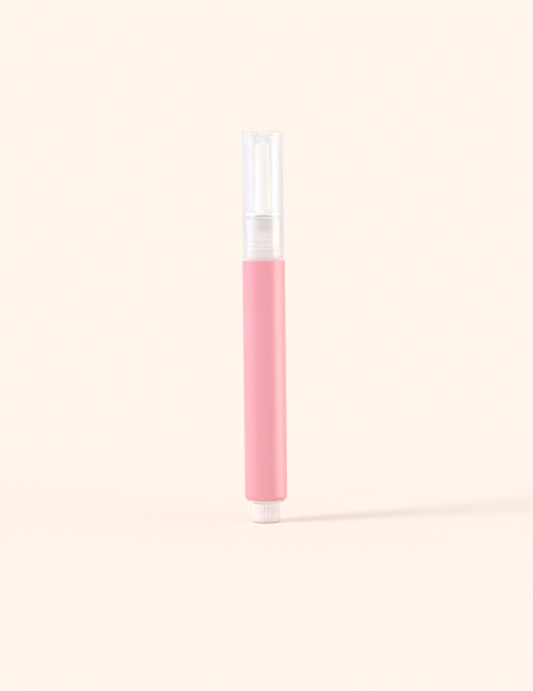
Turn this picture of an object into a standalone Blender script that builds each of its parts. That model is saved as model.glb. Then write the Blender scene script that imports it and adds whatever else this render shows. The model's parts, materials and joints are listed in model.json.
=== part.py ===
"""Twist-up brush pen for nail glue remover, as the pieces that come apart on a bench.

Units are metres and +Z is up. The pen stands on its knob, and the middle of the knob's
foot is the origin. Each piece is drawn upwards from its own seat, and its object is
placed on the pen's axis at the height of that seat. Pieces that move hang from an
empty on their joint's axis, which is the pen's axis for every joint.
"""

from math import acos, asin, ceil, cos, pi, radians, sin, sqrt

import bmesh
import bpy

TURN = 2 * pi

# Gaps between pieces
PRESS_FIT = 0.0001  # radial, between pieces that are pressed together
RUN_FIT = 0.0001  # radial, between pieces that turn or slide on each other
FACE_GAP = 0.0001  # between end faces that touch
RUN_GAP = 0.0003  # between end faces that pass each other

# Barrel
BARREL_OD = 0.0150
BARREL_WALL = 0.0015
BARREL_LENGTH = 0.0845  # from the tail bush's underside to the barrel's rim
BARREL_END_ROUND = 0.0025
BARREL_END_COVER = radians(38)  # how far round its tail end the barrel reaches
RIM_BEVEL = 0.00015
NUT_LEDGE = 0.0003  # step in the bore that the guide nut rests on

# Twist knob
KNOB_OD = 0.0100
KNOB_HEIGHT = 0.0070
KNOB_FOOT_ROUND = 0.0010
KNOB_TOP_BEVEL = 0.0003
KNOB_FLOOR = 0.0014
KNOB_WELL_DEPTH = 0.0021  # clears the screw's end, under the drive sleeve
KNOB_WELL_OD = 0.0050
KNOB_SMOOTH_BAND = 0.0013  # height of the plain band under the grip's grooves
KNOB_GROOVES = 24
KNOB_GROOVE_RADIUS = 0.00036
KNOB_GROOVE_DEPTH = 0.00026

# Tail bush and ratchet
BUSH_THICKNESS = 0.0017
RATCHET_HEIGHT = 0.0030
RATCHET_TEETH = 24
TOOTH_DRAFT = radians(1)  # lean of a tooth's locking face
PAWL_ARMS = 3
PAWL_SWEEP = radians(76)
PAWL_ROOT_SWEEP = radians(13)
PAWL_TIP_SWEEP = radians(8)
PAWL_BACKLASH = radians(2.5)  # from a tooth's locking face to the pawl's
SPRING_THICKNESS = 0.0014

# How the spring and the teeth share the room between the drive sleeve and the bore.
# What the shares leave is the slot that the arms bend into.
SPRING_HUB_SHARE = 0.20
PAWL_ARM_SHARE = 0.14
PAWL_CREST_GAP_SHARE = 0.08
TOOTH_DEPTH_SHARE = 0.18
RATCHET_RIM_SHARE = 0.22
PAWL_REACH_SHARE = 0.18  # how far a pawl's tip stands out of its arm

# Splines in the barrel that stop the bush, the ratchet ring and the nut from turning
SPLINES = 4
SPLINE_WIDTH = 0.0009
SPLINE_HEIGHT = 0.00022
SPLINE_ROOT = 0.0003  # how deep a spline starts in the barrel's wall

# Lead screw
SCREW_OD = 0.0042
SCREW_CORE_OD = 0.0031
SCREW_PITCH = 0.0025
SCREW_FLATS = 0.0027  # across the two flats
THREAD_CREST = 0.0005
THREAD_ROOT = 0.0011
THREAD_PLAY = 0.00015
SCREW_LIFT = 0.0002  # from the drive sleeve's lower end up to the screw's
SCREW_NECK_OD = 0.0022
SCREW_HEAD_OD = 0.0034
SCREW_HEAD_HEIGHT = 0.0020
THREAD_SIDES = 16

# Drive sleeve
SLEEVE_WALL = 0.0008
SLEEVE_FLANGE = 0.0008
SLEEVE_BEAD = 0.0002  # height of the bead that holds the click spring down
SLEEVE_BEAD_LENGTH = 0.0007
KEY_WIDTH = 0.0009
KEY_HEIGHT = 0.0003
KEY_INSET = 0.0009  # from the knob's rim down to the keys that it grips
DRIVE_OVERLAP = 0.0020  # screw left in the sleeve at the end of its stroke

# Guide nut
NUT_LENGTH = 0.0046
NUT_WEB = 0.0013
NUT_RIM_WALL = 0.0009
NUT_HUB_WALL = 0.0013
NUT_SKIRT_WALL = 0.0009
NUT_SKIRT_LENGTH = 0.0043

# Piston
PISTON_HEIGHT = 0.0080
PISTON_FIT = 0.00008  # radial, lips to bore
PISTON_WAIST = 0.0006  # how far the waist lies inside the lips
PISTON_LIP = 0.0007
PISTON_SKIRT_WALL = 0.0009
PISTON_CROWN = 0.0020
PISTON_BOSS_WALL = 0.0009
PISTON_BOSS_RECESS = 0.0017  # from the skirt's edge up to the boss
PISTON_BOSS_LIP = 0.0008
END_GAP = 0.0008  # piston to neck at the end of its stroke

# Neck
NECK_STEP = 0.00005  # how much wider the neck is than its plug, in radius
NECK_HEIGHT = 0.0116  # from the collar to the deck
NECK_WALL = 0.00135
NECK_FLANGE = 0.0008
COLLAR_HEIGHT = 0.0019
PLUG_LENGTH = 0.0071
PLUG_BEVEL = 0.0005
BEAD_COUNT = 3
BEAD_PITCH = 0.0016
BEAD_FIRST = 0.0015  # above the collar
BEAD_HEIGHT = 0.0002
BEAD_FOOT = 0.0008
BEAD_CREST = 0.00025
DECK_THICKNESS = 0.0012
DECK_BEVEL = 0.0004
BOSS_DEPTH = 0.0033  # from the top of the deck
BOSS_WALL = 0.0011

# Brush seat
STEM_OD = 0.0043
STEM_BARB = 0.0005  # how far the barb stands out of the stem
STEM_BARB_HEIGHT = 0.0004
STEM_TIP = 0.0009
SEAT_FLANGE_OD = 0.0064
SEAT_FLANGE = 0.0012
NOSE_WALL = 0.00035
NOSE_HEIGHT = 0.0042
NOSE_SOCKET = 0.0023

# Brush
TUBE_OD = 0.0011
TUBE_BORE = 0.0006
TUBE_DROP = 0.0014  # below the stem
TUBE_RISE = 0.0010  # above the ferrule
FERRULE_OD = 0.0038
FERRULE_LENGTH = 0.0177
FERRULE_WALL = 0.0003
FERRULE_BEVEL = 0.0002
BRISTLE_GRIP = 0.0075  # depth of the tuft inside the ferrule
BRISTLE_SLICE = 0.0012
BRISTLE_LENGTH = 0.0069  # out of the ferrule
BRISTLE_DOME = 0.0016  # how much lower the outer tips end than the middle ones
BRISTLE_SPACING = 0.00013
BRISTLE_ROOT = 0.000042  # half width of a strand
BRISTLE_TIP = 0.000026
BRISTLE_GATHER = 0.80  # the tuft's width at its tips, as a share of its width at the roots

# Cap
CAP_WALL = 0.00095
CAP_TOP = 0.0014
CAP_TOP_ROUND = 0.0006
CAP_INNER_ROUND = 0.0005
CAP_HEADROOM = 0.00165  # between the inner cap's tip and the cap's top
CAP_LEAD_IN = 0.0002
INNER_CAP_WALL = 0.00045
INNER_CAP_FIT = 0.0002  # radial, over the nose
INNER_CAP_TAPER = 0.0005  # how much slimmer its tip is than its mouth, in radius
INNER_CAP_BRIM = 0.0009
INNER_CAP_HEADROOM = 0.0006
INNER_CAP_DOME = 0.0018

# Facets
ROUND_SIDES = 48
FINE_SIDES = 32
SMALL_SIDES = 24
TUBE_SIDES = 16
ARC_STEPS = 5
CREASE = radians(32)
WELD = 0.000001
OVERCUT = 0.001  # how far a cutter runs past what it cuts

# Radii that several pieces share
SCREW_R = SCREW_OD / 2
SLEEVE_BORE_R = SCREW_R + RUN_FIT
SLEEVE_R = SLEEVE_BORE_R + SLEEVE_WALL
SLEEVE_HOLE_R = SLEEVE_R + RUN_FIT
KEY_R = SLEEVE_R + KEY_HEIGHT
BARREL_R = BARREL_OD / 2
BORE_R = BARREL_R - BARREL_WALL
TAIL_BORE_R = BORE_R - NUT_LEDGE
SPRING_HOLE_R = SLEEVE_R + PRESS_FIT
RATCHET_R = TAIL_BORE_R - PRESS_FIT
RATCHET_ROOM = RATCHET_R - SPRING_HOLE_R
TOOTH_ROOT_R = RATCHET_R - RATCHET_RIM_SHARE * RATCHET_ROOM
TOOTH_CREST_R = TOOTH_ROOT_R - TOOTH_DEPTH_SHARE * RATCHET_ROOM
PAWL_ARM_R = TOOTH_CREST_R - PAWL_CREST_GAP_SHARE * RATCHET_ROOM
PAWL_TIP_R = PAWL_ARM_R + PAWL_REACH_SHARE * RATCHET_ROOM
SPRING_HUB_R = SPRING_HOLE_R + SPRING_HUB_SHARE * RATCHET_ROOM
PLUG_R = BORE_R - PRESS_FIT
NECK_R = PLUG_R + NECK_STEP
COLLAR_R = NECK_R + BEAD_HEIGHT
CAP_BORE_R = COLLAR_R + RUN_FIT
CAP_R = CAP_BORE_R + CAP_WALL
STEM_R = STEM_OD / 2
TUBE_R = TUBE_OD / 2
TUBE_HOLE_R = TUBE_R + PRESS_FIT
FERRULE_R = FERRULE_OD / 2
FERRULE_BORE_R = FERRULE_R - FERRULE_WALL
TUFT_R = FERRULE_BORE_R - PRESS_FIT
NOSE_R = FERRULE_R + PRESS_FIT + NOSE_WALL
INNER_CAP_MOUTH_R = NOSE_R + INNER_CAP_FIT

# Heights of the seats, from the foot up
TAIL_Z = KNOB_HEIGHT + RUN_GAP
BARREL_RIM_Z = TAIL_Z + BARREL_LENGTH
NECK_Z = BARREL_RIM_Z + FACE_GAP
PLUG_END_Z = NECK_Z - PLUG_LENGTH
COLLAR_TOP_Z = NECK_Z + NECK_FLANGE + COLLAR_HEIGHT
DECK_Z = COLLAR_TOP_Z + NECK_HEIGHT
CAP_Z = NECK_Z + NECK_FLANGE + RUN_GAP

BUSH_TOP_Z = TAIL_Z + BUSH_THICKNESS
RATCHET_Z = BUSH_TOP_Z + FACE_GAP
SLEEVE_FLANGE_Z = BUSH_TOP_Z + 2 * FACE_GAP
SPRING_Z = SLEEVE_FLANGE_Z + SLEEVE_FLANGE + FACE_GAP
SPRING_TOP_Z = SPRING_Z + SPRING_THICKNESS

# The sleeve must still hold the screw when the piston meets the neck, so the stroke
# is half of the length that the fixed pieces leave free.
SLEEVE_Z = KNOB_FLOOR + KNOB_WELL_DEPTH + FACE_GAP
SCREW_Z = SLEEVE_Z + SCREW_LIFT
FIXED_LENGTH = DRIVE_OVERLAP + NUT_LENGTH + PISTON_HEIGHT + 2 * RUN_GAP + END_GAP
STROKE = (PLUG_END_Z - SCREW_Z - FIXED_LENGTH) / 2
SLEEVE_TOP_Z = SCREW_Z + STROKE + DRIVE_OVERLAP
NUT_Z = SLEEVE_TOP_Z + RUN_GAP
PISTON_Z = NUT_Z + NUT_LENGTH + RUN_GAP
THREAD_LENGTH = PISTON_Z + PISTON_BOSS_RECESS - RUN_GAP - SCREW_Z
HEAD_Z = PISTON_Z + PISTON_BOSS_RECESS + PISTON_BOSS_LIP + RUN_GAP

SEAT_Z = DECK_Z + FACE_GAP
STEM_END_Z = DECK_Z - BOSS_DEPTH - FACE_GAP - STEM_BARB_HEIGHT - STEM_TIP
FERRULE_Z = SEAT_Z + NOSE_HEIGHT - NOSE_SOCKET + FACE_GAP
FERRULE_TOP_Z = FERRULE_Z + FERRULE_LENGTH
BRISTLE_Z = FERRULE_TOP_Z - BRISTLE_GRIP + FACE_GAP
BRISTLE_TIP_Z = FERRULE_TOP_Z + BRISTLE_LENGTH
INNER_CAP_Z = SEAT_Z + SEAT_FLANGE + RUN_GAP
INNER_CAP_TOP_Z = BRISTLE_TIP_Z + INNER_CAP_HEADROOM + INNER_CAP_WALL
CAP_TOP_Z = INNER_CAP_TOP_Z + CAP_HEADROOM + CAP_TOP

# Colours, as linear red, green and blue
PINK = (0.84, 0.36, 0.42)
NATURAL = (0.86, 0.80, 0.79)
CLEAR = (0.93, 0.94, 0.96)
CREAM = (0.90, 0.87, 0.80)
WHITE = (0.86, 0.86, 0.85)
ACETAL = (0.80, 0.79, 0.74)


def clear_scene():
    for leftover in list(bpy.data.objects):
        bpy.data.objects.remove(leftover, do_unlink=True)


def new_collection(name):
    collection = bpy.data.collections.new(name)
    bpy.context.scene.collection.children.link(collection)
    return collection


def plastic(name, colour, roughness, alpha=1.0):
    material = bpy.data.materials.new(name)
    material.use_nodes = True
    shader = material.node_tree.nodes["Principled BSDF"]
    shader.inputs["Base Color"].default_value = (*colour, 1.0)
    shader.inputs["Roughness"].default_value = roughness
    shader.inputs["Metallic"].default_value = 0.0
    shader.inputs["Alpha"].default_value = alpha
    material.diffuse_color = (*colour, alpha)
    return material


def polar(radius, angle):
    return radius * cos(angle), radius * sin(angle)


def arc(centre, radius, start, end, steps=ARC_STEPS):
    """Points on an arc of a profile, from the angle start to the angle end."""
    angles = [start + (end - start) * i / steps for i in range(steps + 1)]
    return [(centre[0] + radius * cos(a), centre[1] + radius * sin(a)) for a in angles]


def circle(radius, sides):
    return [polar(radius, TURN * i / sides) for i in range(sides)]


def to_solid(source, name, material=None):
    """Turn a profile or curve object into a welded mesh, smooth but for its creases."""
    bpy.context.view_layer.update()
    evaluated = source.evaluated_get(bpy.context.evaluated_depsgraph_get())
    mesh = bpy.data.meshes.new_from_object(evaluated)
    group = source.users_collection[0]
    bpy.data.objects.remove(source, do_unlink=True)
    welded = bmesh.new()
    welded.from_mesh(mesh)
    bmesh.ops.remove_doubles(welded, verts=welded.verts, dist=WELD)
    bmesh.ops.recalc_face_normals(welded, faces=welded.faces)
    welded.to_mesh(mesh)
    welded.free()
    mesh.name = name
    mesh.shade_smooth()
    mesh.set_sharp_from_angle(angle=CREASE)
    mesh.materials.clear()
    if material:
        mesh.materials.append(material)
    piece = bpy.data.objects.new(name, mesh)
    group.objects.link(piece)
    return piece


def turned(name, profile, group, material=None, sides=ROUND_SIDES):
    """A solid of revolution. Its profile runs down the outer side as (radius, height)."""
    edges = [(i, i + 1) for i in range(len(profile) - 1)]
    if profile[0][0] > 0:
        edges.append((len(profile) - 1, 0))
    mesh = bpy.data.meshes.new(name)
    mesh.from_pydata([(radius, 0, height) for radius, height in profile], edges, [])
    piece = bpy.data.objects.new(name, mesh)
    group.objects.link(piece)
    turn = piece.modifiers.new("Turn", "SCREW")
    turn.axis = "Z"
    turn.angle = TURN
    turn.steps = turn.render_steps = sides
    turn.use_merge_vertices = True
    turn.merge_threshold = WELD
    return to_solid(piece, name, material)


def plate(name, outlines, thickness, group, material=None):
    """A flat piece with holes, from closed outlines, standing on its seat."""
    curve = bpy.data.curves.new(name, "CURVE")
    curve.dimensions = "2D"
    curve.fill_mode = "BOTH"
    curve.extrude = thickness / 2
    for outline in outlines:
        spline = curve.splines.new("POLY")
        spline.points.add(len(outline) - 1)
        for point, (x, y) in zip(spline.points, outline):
            point.co = (x, y, 0, 1)
        spline.use_cyclic_u = True
    piece = bpy.data.objects.new(name, curve)
    group.objects.link(piece)
    piece = to_solid(piece, name, material)
    for vertex in piece.data.vertices:
        vertex.co.z += thickness / 2
    return piece


def combine(piece, tool, operation):
    """Cut a tool out of a piece, or fuse the tool to it. The tool stays as a guide."""
    boolean = piece.modifiers.new(tool.name, "BOOLEAN")
    boolean.operation = operation
    boolean.solver = "EXACT"
    boolean.object = tool
    tool.hide_render = True
    tool.display_type = "WIRE"


def place(thing, height, carrier=None):
    thing.location.z = height - (carrier.location.z if carrier else 0)
    thing.parent = carrier


def carrier_at(name, height, group, carrier=None):
    """An empty on the pen's axis that a moving group of pieces hangs from."""
    empty = bpy.data.objects.new(name, None)
    empty.empty_display_size = BARREL_R
    group.objects.link(empty)
    empty.location.z = height - (carrier.location.z if carrier else 0)
    empty.parent = carrier
    return empty


def box(name, size, centre, group):
    """A block that a key or a keyway is made of."""
    block = bmesh.new()
    bmesh.ops.create_cube(block, size=1)
    bmesh.ops.scale(block, vec=size, verts=block.verts)
    bmesh.ops.translate(block, vec=centre, verts=block.verts)
    mesh = bpy.data.meshes.new(name)
    block.to_mesh(mesh)
    block.free()
    piece = bpy.data.objects.new(name, mesh)
    group.objects.link(piece)
    return piece


def close_ends(bar):
    open_edges = [edge for edge in bar.edges if edge.is_boundary]
    bmesh.ops.holes_fill(bar, edges=open_edges, sides=0)


def helix(name, core_r, ridge_r, crest, root, bottom, top, group, flats=None):
    """A threaded bar from bottom to top, right-handed, with its ridge at angle 0 at height 0.

    The profile of one pitch is swept up the axis, cut level at both ends, and cut
    again along its two flats where it has them.
    """
    start = ceil(-bottom / SCREW_PITCH) + 1
    turns = ceil((top - bottom) / SCREW_PITCH) + 3
    profile = [
        (core_r, root / 2),
        (ridge_r, crest / 2),
        (ridge_r, -crest / 2),
        (core_r, -root / 2),
        (core_r, root / 2 - SCREW_PITCH),
    ]
    mesh = bpy.data.meshes.new(name)
    points = [(radius, 0, height - start * SCREW_PITCH) for radius, height in profile]
    mesh.from_pydata(points, [(i, i + 1) for i in range(len(points) - 1)], [])
    piece = bpy.data.objects.new(name, mesh)
    group.objects.link(piece)
    sweep = piece.modifiers.new("Thread", "SCREW")
    sweep.axis = "Z"
    sweep.angle = TURN
    sweep.screw_offset = SCREW_PITCH
    sweep.iterations = turns
    sweep.steps = sweep.render_steps = THREAD_SIDES
    piece = to_solid(piece, name)

    bar = bmesh.new()
    bar.from_mesh(piece.data)
    close_ends(bar)
    planes = [((0, 0, top), (0, 0, 1)), ((0, 0, bottom), (0, 0, -1))]
    if flats:
        planes += [((flats / 2, 0, 0), (1, 0, 0)), ((-flats / 2, 0, 0), (-1, 0, 0))]
    for point, outwards in planes:
        everything = bar.verts[:] + bar.edges[:] + bar.faces[:]
        bmesh.ops.bisect_plane(
            bar, geom=everything, plane_co=point, plane_no=outwards, clear_outer=True
        )
        close_ends(bar)
    bmesh.ops.recalc_face_normals(bar, faces=bar.faces)
    bar.to_mesh(piece.data)
    bar.free()
    piece.data.shade_smooth()
    piece.data.set_sharp_from_angle(angle=CREASE)
    return piece


def tail_round(angle):
    """A point on the pen's rounded tail end, at an angle below level, from the tail up."""
    return (
        BARREL_R - BARREL_END_ROUND + BARREL_END_ROUND * cos(angle),
        BARREL_END_ROUND - BARREL_END_ROUND * sin(angle),
    )


def tail_arc(start, end):
    step = (end - start) / ARC_STEPS
    return [tail_round(start + step * i) for i in range(ARC_STEPS + 1)]


def make_barrel(group, cutters):
    ledge = NUT_Z - FACE_GAP - TAIL_Z
    profile = [(BARREL_R - RIM_BEVEL, BARREL_LENGTH), (BARREL_R, BARREL_LENGTH - RIM_BEVEL)]
    profile += tail_arc(0, BARREL_END_COVER)
    tail_face = profile[-1][1]
    profile += [
        (TAIL_BORE_R, tail_face),
        (TAIL_BORE_R, ledge),
        (BORE_R, ledge),
        (BORE_R, BARREL_LENGTH),
    ]
    barrel = turned("barrel", profile, group, plastic("barrel pink", PINK, 0.42))

    tail_foot = TAIL_Z + tail_face + FACE_GAP
    tail_length = RATCHET_Z + RATCHET_HEIGHT - tail_foot
    tail_splines = spline_ring("tail_splines", TAIL_BORE_R, tail_length, 0, cutters)
    place(tail_splines, tail_foot)
    combine(barrel, tail_splines, "UNION")
    nut_foot = NUT_Z - 2 * FACE_GAP
    nut_length = NUT_Z + NUT_WEB - nut_foot
    nut_splines = spline_ring("nut_splines", BORE_R, nut_length, 0, cutters)
    place(nut_splines, nut_foot)
    combine(barrel, nut_splines, "UNION")
    return barrel


def make_tail_bush(group, cutters):
    cover_height = tail_round(BARREL_END_COVER)[1] - FACE_GAP
    cover_angle = asin(1 - cover_height / BARREL_END_ROUND)
    profile = [(RATCHET_R, BUSH_THICKNESS), (RATCHET_R, cover_height)]
    profile += tail_arc(cover_angle, pi / 2)
    profile += [(SLEEVE_HOLE_R, 0), (SLEEVE_HOLE_R, BUSH_THICKNESS)]
    material = plastic("bush natural", NATURAL, 0.30)
    bush = turned("tail_bush", profile, group, material, FINE_SIDES)
    keyways = spline_ring("bush_keyways", TAIL_BORE_R, BUSH_THICKNESS, PRESS_FIT, cutters)
    place(keyways, TAIL_Z + cover_height + FACE_GAP)
    combine(bush, keyways, "DIFFERENCE")
    return bush


def sweep_points(radius, start, end, steps):
    return [polar(radius, start + (end - start) * i / steps) for i in range(steps + 1)]


def splined(radius, step, width, steps=9):
    """A round outline that steps in, or with a negative step out, at each spline."""
    outline = []
    pitch = TURN / SPLINES
    for number in range(SPLINES):
        middle = (number + 0.5) * pitch
        inner_reach = asin(width / 2 / (radius - step))
        outer_reach = asin(width / 2 / radius)
        outline += sweep_points(radius - step, middle - inner_reach, middle + inner_reach, 1)
        outline += sweep_points(radius, middle + outer_reach, middle + pitch - outer_reach, steps)
    return outline


def spline_ring(name, bore_r, length, play, group):
    """A ring in the wall round a bore, whose splines stand out into the bore."""
    inside = splined(
        bore_r + SPLINE_ROOT,
        SPLINE_ROOT + SPLINE_HEIGHT + play,
        SPLINE_WIDTH + 2 * play,
    )
    return plate(name, [circle(bore_r + 2 * SPLINE_ROOT, ROUND_SIDES), inside], length, group)


def tooth_start(number):
    return TURN * number / RATCHET_TEETH


def make_ratchet_ring(group):
    """A ring whose inner teeth rise slowly and drop back on a steep locking face."""
    teeth = []
    for number in range(RATCHET_TEETH):
        teeth.append(polar(TOOTH_ROOT_R, tooth_start(number)))
        teeth.append(polar(TOOTH_CREST_R, tooth_start(number + 1) - TOOTH_DRAFT))
    outside = splined(RATCHET_R, SPLINE_HEIGHT, SPLINE_WIDTH + 2 * PRESS_FIT, 11)
    material = plastic("ratchet acetal", ACETAL, 0.35)
    return plate("ratchet_ring", [outside, teeth], RATCHET_HEIGHT, group, material)


def keyed_hole(radius, key_radius, half_width):
    """A round hole with two keyways, on +X and -X."""
    reach = asin(half_width / radius)
    outline = []
    for side in (0, pi):
        turned_key = [(key_radius, -half_width), (key_radius, half_width)]
        outline += [(x * cos(side), y * cos(side)) for x, y in turned_key]
        outline += sweep_points(radius, side + reach, side + pi - reach, 10)
    return outline


def make_click_spring(group):
    """A hub with springy arms that trail behind the turn, each with a pawl at its tip."""
    under_r = PAWL_ARM_R - PAWL_ARM_SHARE * RATCHET_ROOM
    outline = []
    for number in range(PAWL_ARMS):
        tooth = round(number * RATCHET_TEETH / PAWL_ARMS)
        tip = tooth_start(tooth) + PAWL_BACKLASH
        root_end = tip + PAWL_SWEEP
        root_start = root_end - PAWL_ROOT_SWEEP
        outline += sweep_points(SPRING_HUB_R, root_end - TURN / PAWL_ARMS, root_start, 8)
        outline += sweep_points(under_r, root_start, tip, 6)
        outline.append(polar(PAWL_TIP_R, tip))
        outline += sweep_points(PAWL_ARM_R, tip + PAWL_TIP_SWEEP, root_end, 6)
    hole = keyed_hole(SPRING_HOLE_R, KEY_R + PRESS_FIT, KEY_WIDTH / 2 + PRESS_FIT)
    material = plastic("spring acetal", ACETAL, 0.35)
    return plate("click_spring", [outline, hole], SPRING_THICKNESS, group, material)


def make_knob(group, cutters):
    knob_r = KNOB_OD / 2
    socket_r = SLEEVE_R + PRESS_FIT
    socket_floor = KNOB_FLOOR + KNOB_WELL_DEPTH
    foot = (knob_r - KNOB_FOOT_ROUND, KNOB_FOOT_ROUND)
    profile = [
        (0, KNOB_FLOOR),
        (KNOB_WELL_OD / 2, KNOB_FLOOR),
        (KNOB_WELL_OD / 2, socket_floor),
        (socket_r, socket_floor),
        (socket_r, KNOB_HEIGHT),
        (knob_r - KNOB_TOP_BEVEL, KNOB_HEIGHT),
        (knob_r, KNOB_HEIGHT - KNOB_TOP_BEVEL),
        *arc(foot, KNOB_FOOT_ROUND, 0, -pi / 2),
        (0, 0),
    ]
    knob = turned("twist_knob", profile, group, plastic("knob natural", NATURAL, 0.28))

    length = KNOB_HEIGHT - KNOB_SMOOTH_BAND + OVERCUT
    axis_r = knob_r + KNOB_GROOVE_RADIUS - KNOB_GROOVE_DEPTH
    grooves = bmesh.new()
    for number in range(KNOB_GROOVES):
        x, y = polar(axis_r, TURN * (number + 0.5) / KNOB_GROOVES)
        rod = bmesh.ops.create_cone(
            grooves,
            cap_ends=True,
            segments=8,
            radius1=KNOB_GROOVE_RADIUS,
            radius2=KNOB_GROOVE_RADIUS,
            depth=length,
        )
        middle = KNOB_SMOOTH_BAND + length / 2
        bmesh.ops.translate(grooves, vec=(x, y, middle), verts=rod["verts"])
    mesh = bpy.data.meshes.new("grip_grooves")
    grooves.to_mesh(mesh)
    grooves.free()
    cutter = bpy.data.objects.new("grip_grooves", mesh)
    cutters.objects.link(cutter)
    combine(knob, cutter, "DIFFERENCE")

    keyway_height = KNOB_HEIGHT - socket_floor + OVERCUT
    keyway = box(
        "knob_keyway",
        (2 * (KEY_R + PRESS_FIT), KEY_WIDTH + 2 * PRESS_FIT, keyway_height),
        (0, 0, socket_floor + keyway_height / 2),
        cutters,
    )
    combine(knob, keyway, "DIFFERENCE")
    return knob


def flatted_bar(radius, flats):
    """The outline of a round bar with two flats, on +X and -X."""
    corner = acos(flats / 2 / radius)
    side = sweep_points(radius, corner, pi - corner, 8)
    return side + [(-x, -y) for x, y in side]


def make_drive_sleeve(group, cutters):
    """A long tube that turns the screw by its flats and carries the click spring."""
    length = SLEEVE_TOP_Z - SLEEVE_Z
    flange = SLEEVE_FLANGE_Z - SLEEVE_Z
    flange_r = SPRING_HUB_R + PRESS_FIT
    bead = SPRING_TOP_Z + FACE_GAP - SLEEVE_Z
    profile = [
        (0, length),
        (SLEEVE_R - RIM_BEVEL, length),
        (SLEEVE_R, length - RIM_BEVEL),
        (SLEEVE_R, bead + SLEEVE_BEAD_LENGTH),
        (SLEEVE_R + SLEEVE_BEAD, bead + SLEEVE_BEAD_LENGTH / 2),
        (SLEEVE_R + SLEEVE_BEAD, bead),
        (SLEEVE_R, bead),
        (SLEEVE_R, flange + SLEEVE_FLANGE),
        (flange_r, flange + SLEEVE_FLANGE),
        (flange_r, flange),
        (SLEEVE_R, flange),
        (SLEEVE_R, 0),
        (0, 0),
    ]
    material = plastic("sleeve acetal", ACETAL, 0.35)
    sleeve = turned("drive_sleeve", profile, group, material, FINE_SIDES)

    knob_key_height = KNOB_HEIGHT - KEY_INSET - SLEEVE_Z
    knob_keys = box(
        "knob_keys",
        (2 * KEY_R, KEY_WIDTH, knob_key_height),
        (0, 0, knob_key_height / 2),
        cutters,
    )
    spring_level = flange + SLEEVE_FLANGE / 2
    spring_key_height = SPRING_TOP_Z - SLEEVE_Z - spring_level
    spring_keys = box(
        "spring_keys",
        (2 * KEY_R, KEY_WIDTH, spring_key_height),
        (0, 0, spring_level + spring_key_height / 2),
        cutters,
    )
    bore = plate(
        "sleeve_bore",
        [flatted_bar(SLEEVE_BORE_R, SCREW_FLATS + 2 * RUN_FIT)],
        length + 2 * OVERCUT,
        cutters,
    )
    for tool, height in ((knob_keys, 0), (spring_keys, 0), (bore, -OVERCUT)):
        place(tool, height + SLEEVE_Z)
    combine(sleeve, knob_keys, "UNION")
    combine(sleeve, spring_keys, "UNION")
    combine(sleeve, bore, "DIFFERENCE")
    return sleeve


def make_lead_screw(group, cutters):
    """A threaded bar with two flats, and a snap head for the piston."""
    material = plastic("screw acetal", ACETAL, 0.35)
    bar = helix(
        "lead_screw",
        SCREW_CORE_OD / 2,
        SCREW_R,
        THREAD_CREST,
        THREAD_ROOT,
        0,
        THREAD_LENGTH,
        group,
        SCREW_FLATS,
    )
    bar.data.materials.append(material)
    neck_r = SCREW_NECK_OD / 2
    head_r = SCREW_HEAD_OD / 2
    head_foot = HEAD_Z - SCREW_Z
    head_bevel = head_r - neck_r
    head_top = head_foot + SCREW_HEAD_HEIGHT
    profile = [
        (0, head_top),
        (neck_r, head_top),
        (head_r, head_top - head_bevel),
        (head_r, head_foot + head_bevel),
        (neck_r, head_foot),
        (neck_r, THREAD_LENGTH - OVERCUT),
        (0, THREAD_LENGTH - OVERCUT),
    ]
    head = turned("screw_head", profile, cutters, sides=TUBE_SIDES)
    place(head, SCREW_Z)
    combine(bar, head, "UNION")
    return bar


def make_guide_nut(group, cutters):
    """A cored plug in the bore, threaded for the screw, with a skirt round the sleeve."""
    rim_r = BORE_R - PRESS_FIT
    hub_r = SCREW_R + THREAD_PLAY + NUT_HUB_WALL
    skirt_r = SLEEVE_HOLE_R + NUT_SKIRT_WALL
    profile = [
        (0, NUT_LENGTH),
        (hub_r, NUT_LENGTH),
        (hub_r, NUT_WEB),
        (rim_r - NUT_RIM_WALL, NUT_WEB),
        (rim_r - NUT_RIM_WALL, NUT_LENGTH),
        (rim_r, NUT_LENGTH),
        (rim_r, 0),
        (skirt_r, 0),
        (skirt_r, -NUT_SKIRT_LENGTH),
        (SLEEVE_HOLE_R, -NUT_SKIRT_LENGTH),
        (SLEEVE_HOLE_R, 0),
        (0, 0),
    ]
    nut = turned("guide_nut", profile, group, plastic("nut acetal", ACETAL, 0.35))
    thread = helix(
        "nut_thread",
        SCREW_CORE_OD / 2 + THREAD_PLAY,
        SCREW_R + THREAD_PLAY,
        THREAD_CREST + THREAD_PLAY,
        THREAD_ROOT + THREAD_PLAY,
        NUT_Z - OVERCUT - SCREW_Z,
        NUT_Z + NUT_LENGTH + OVERCUT - SCREW_Z,
        cutters,
    )
    place(thread, SCREW_Z)
    combine(nut, thread, "DIFFERENCE")
    keyway_length = NUT_WEB + 2 * FACE_GAP + OVERCUT
    keyways = spline_ring("nut_keyways", BORE_R, keyway_length, PRESS_FIT, cutters)
    place(keyways, NUT_Z - OVERCUT)
    combine(nut, keyways, "DIFFERENCE")
    return nut


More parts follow.
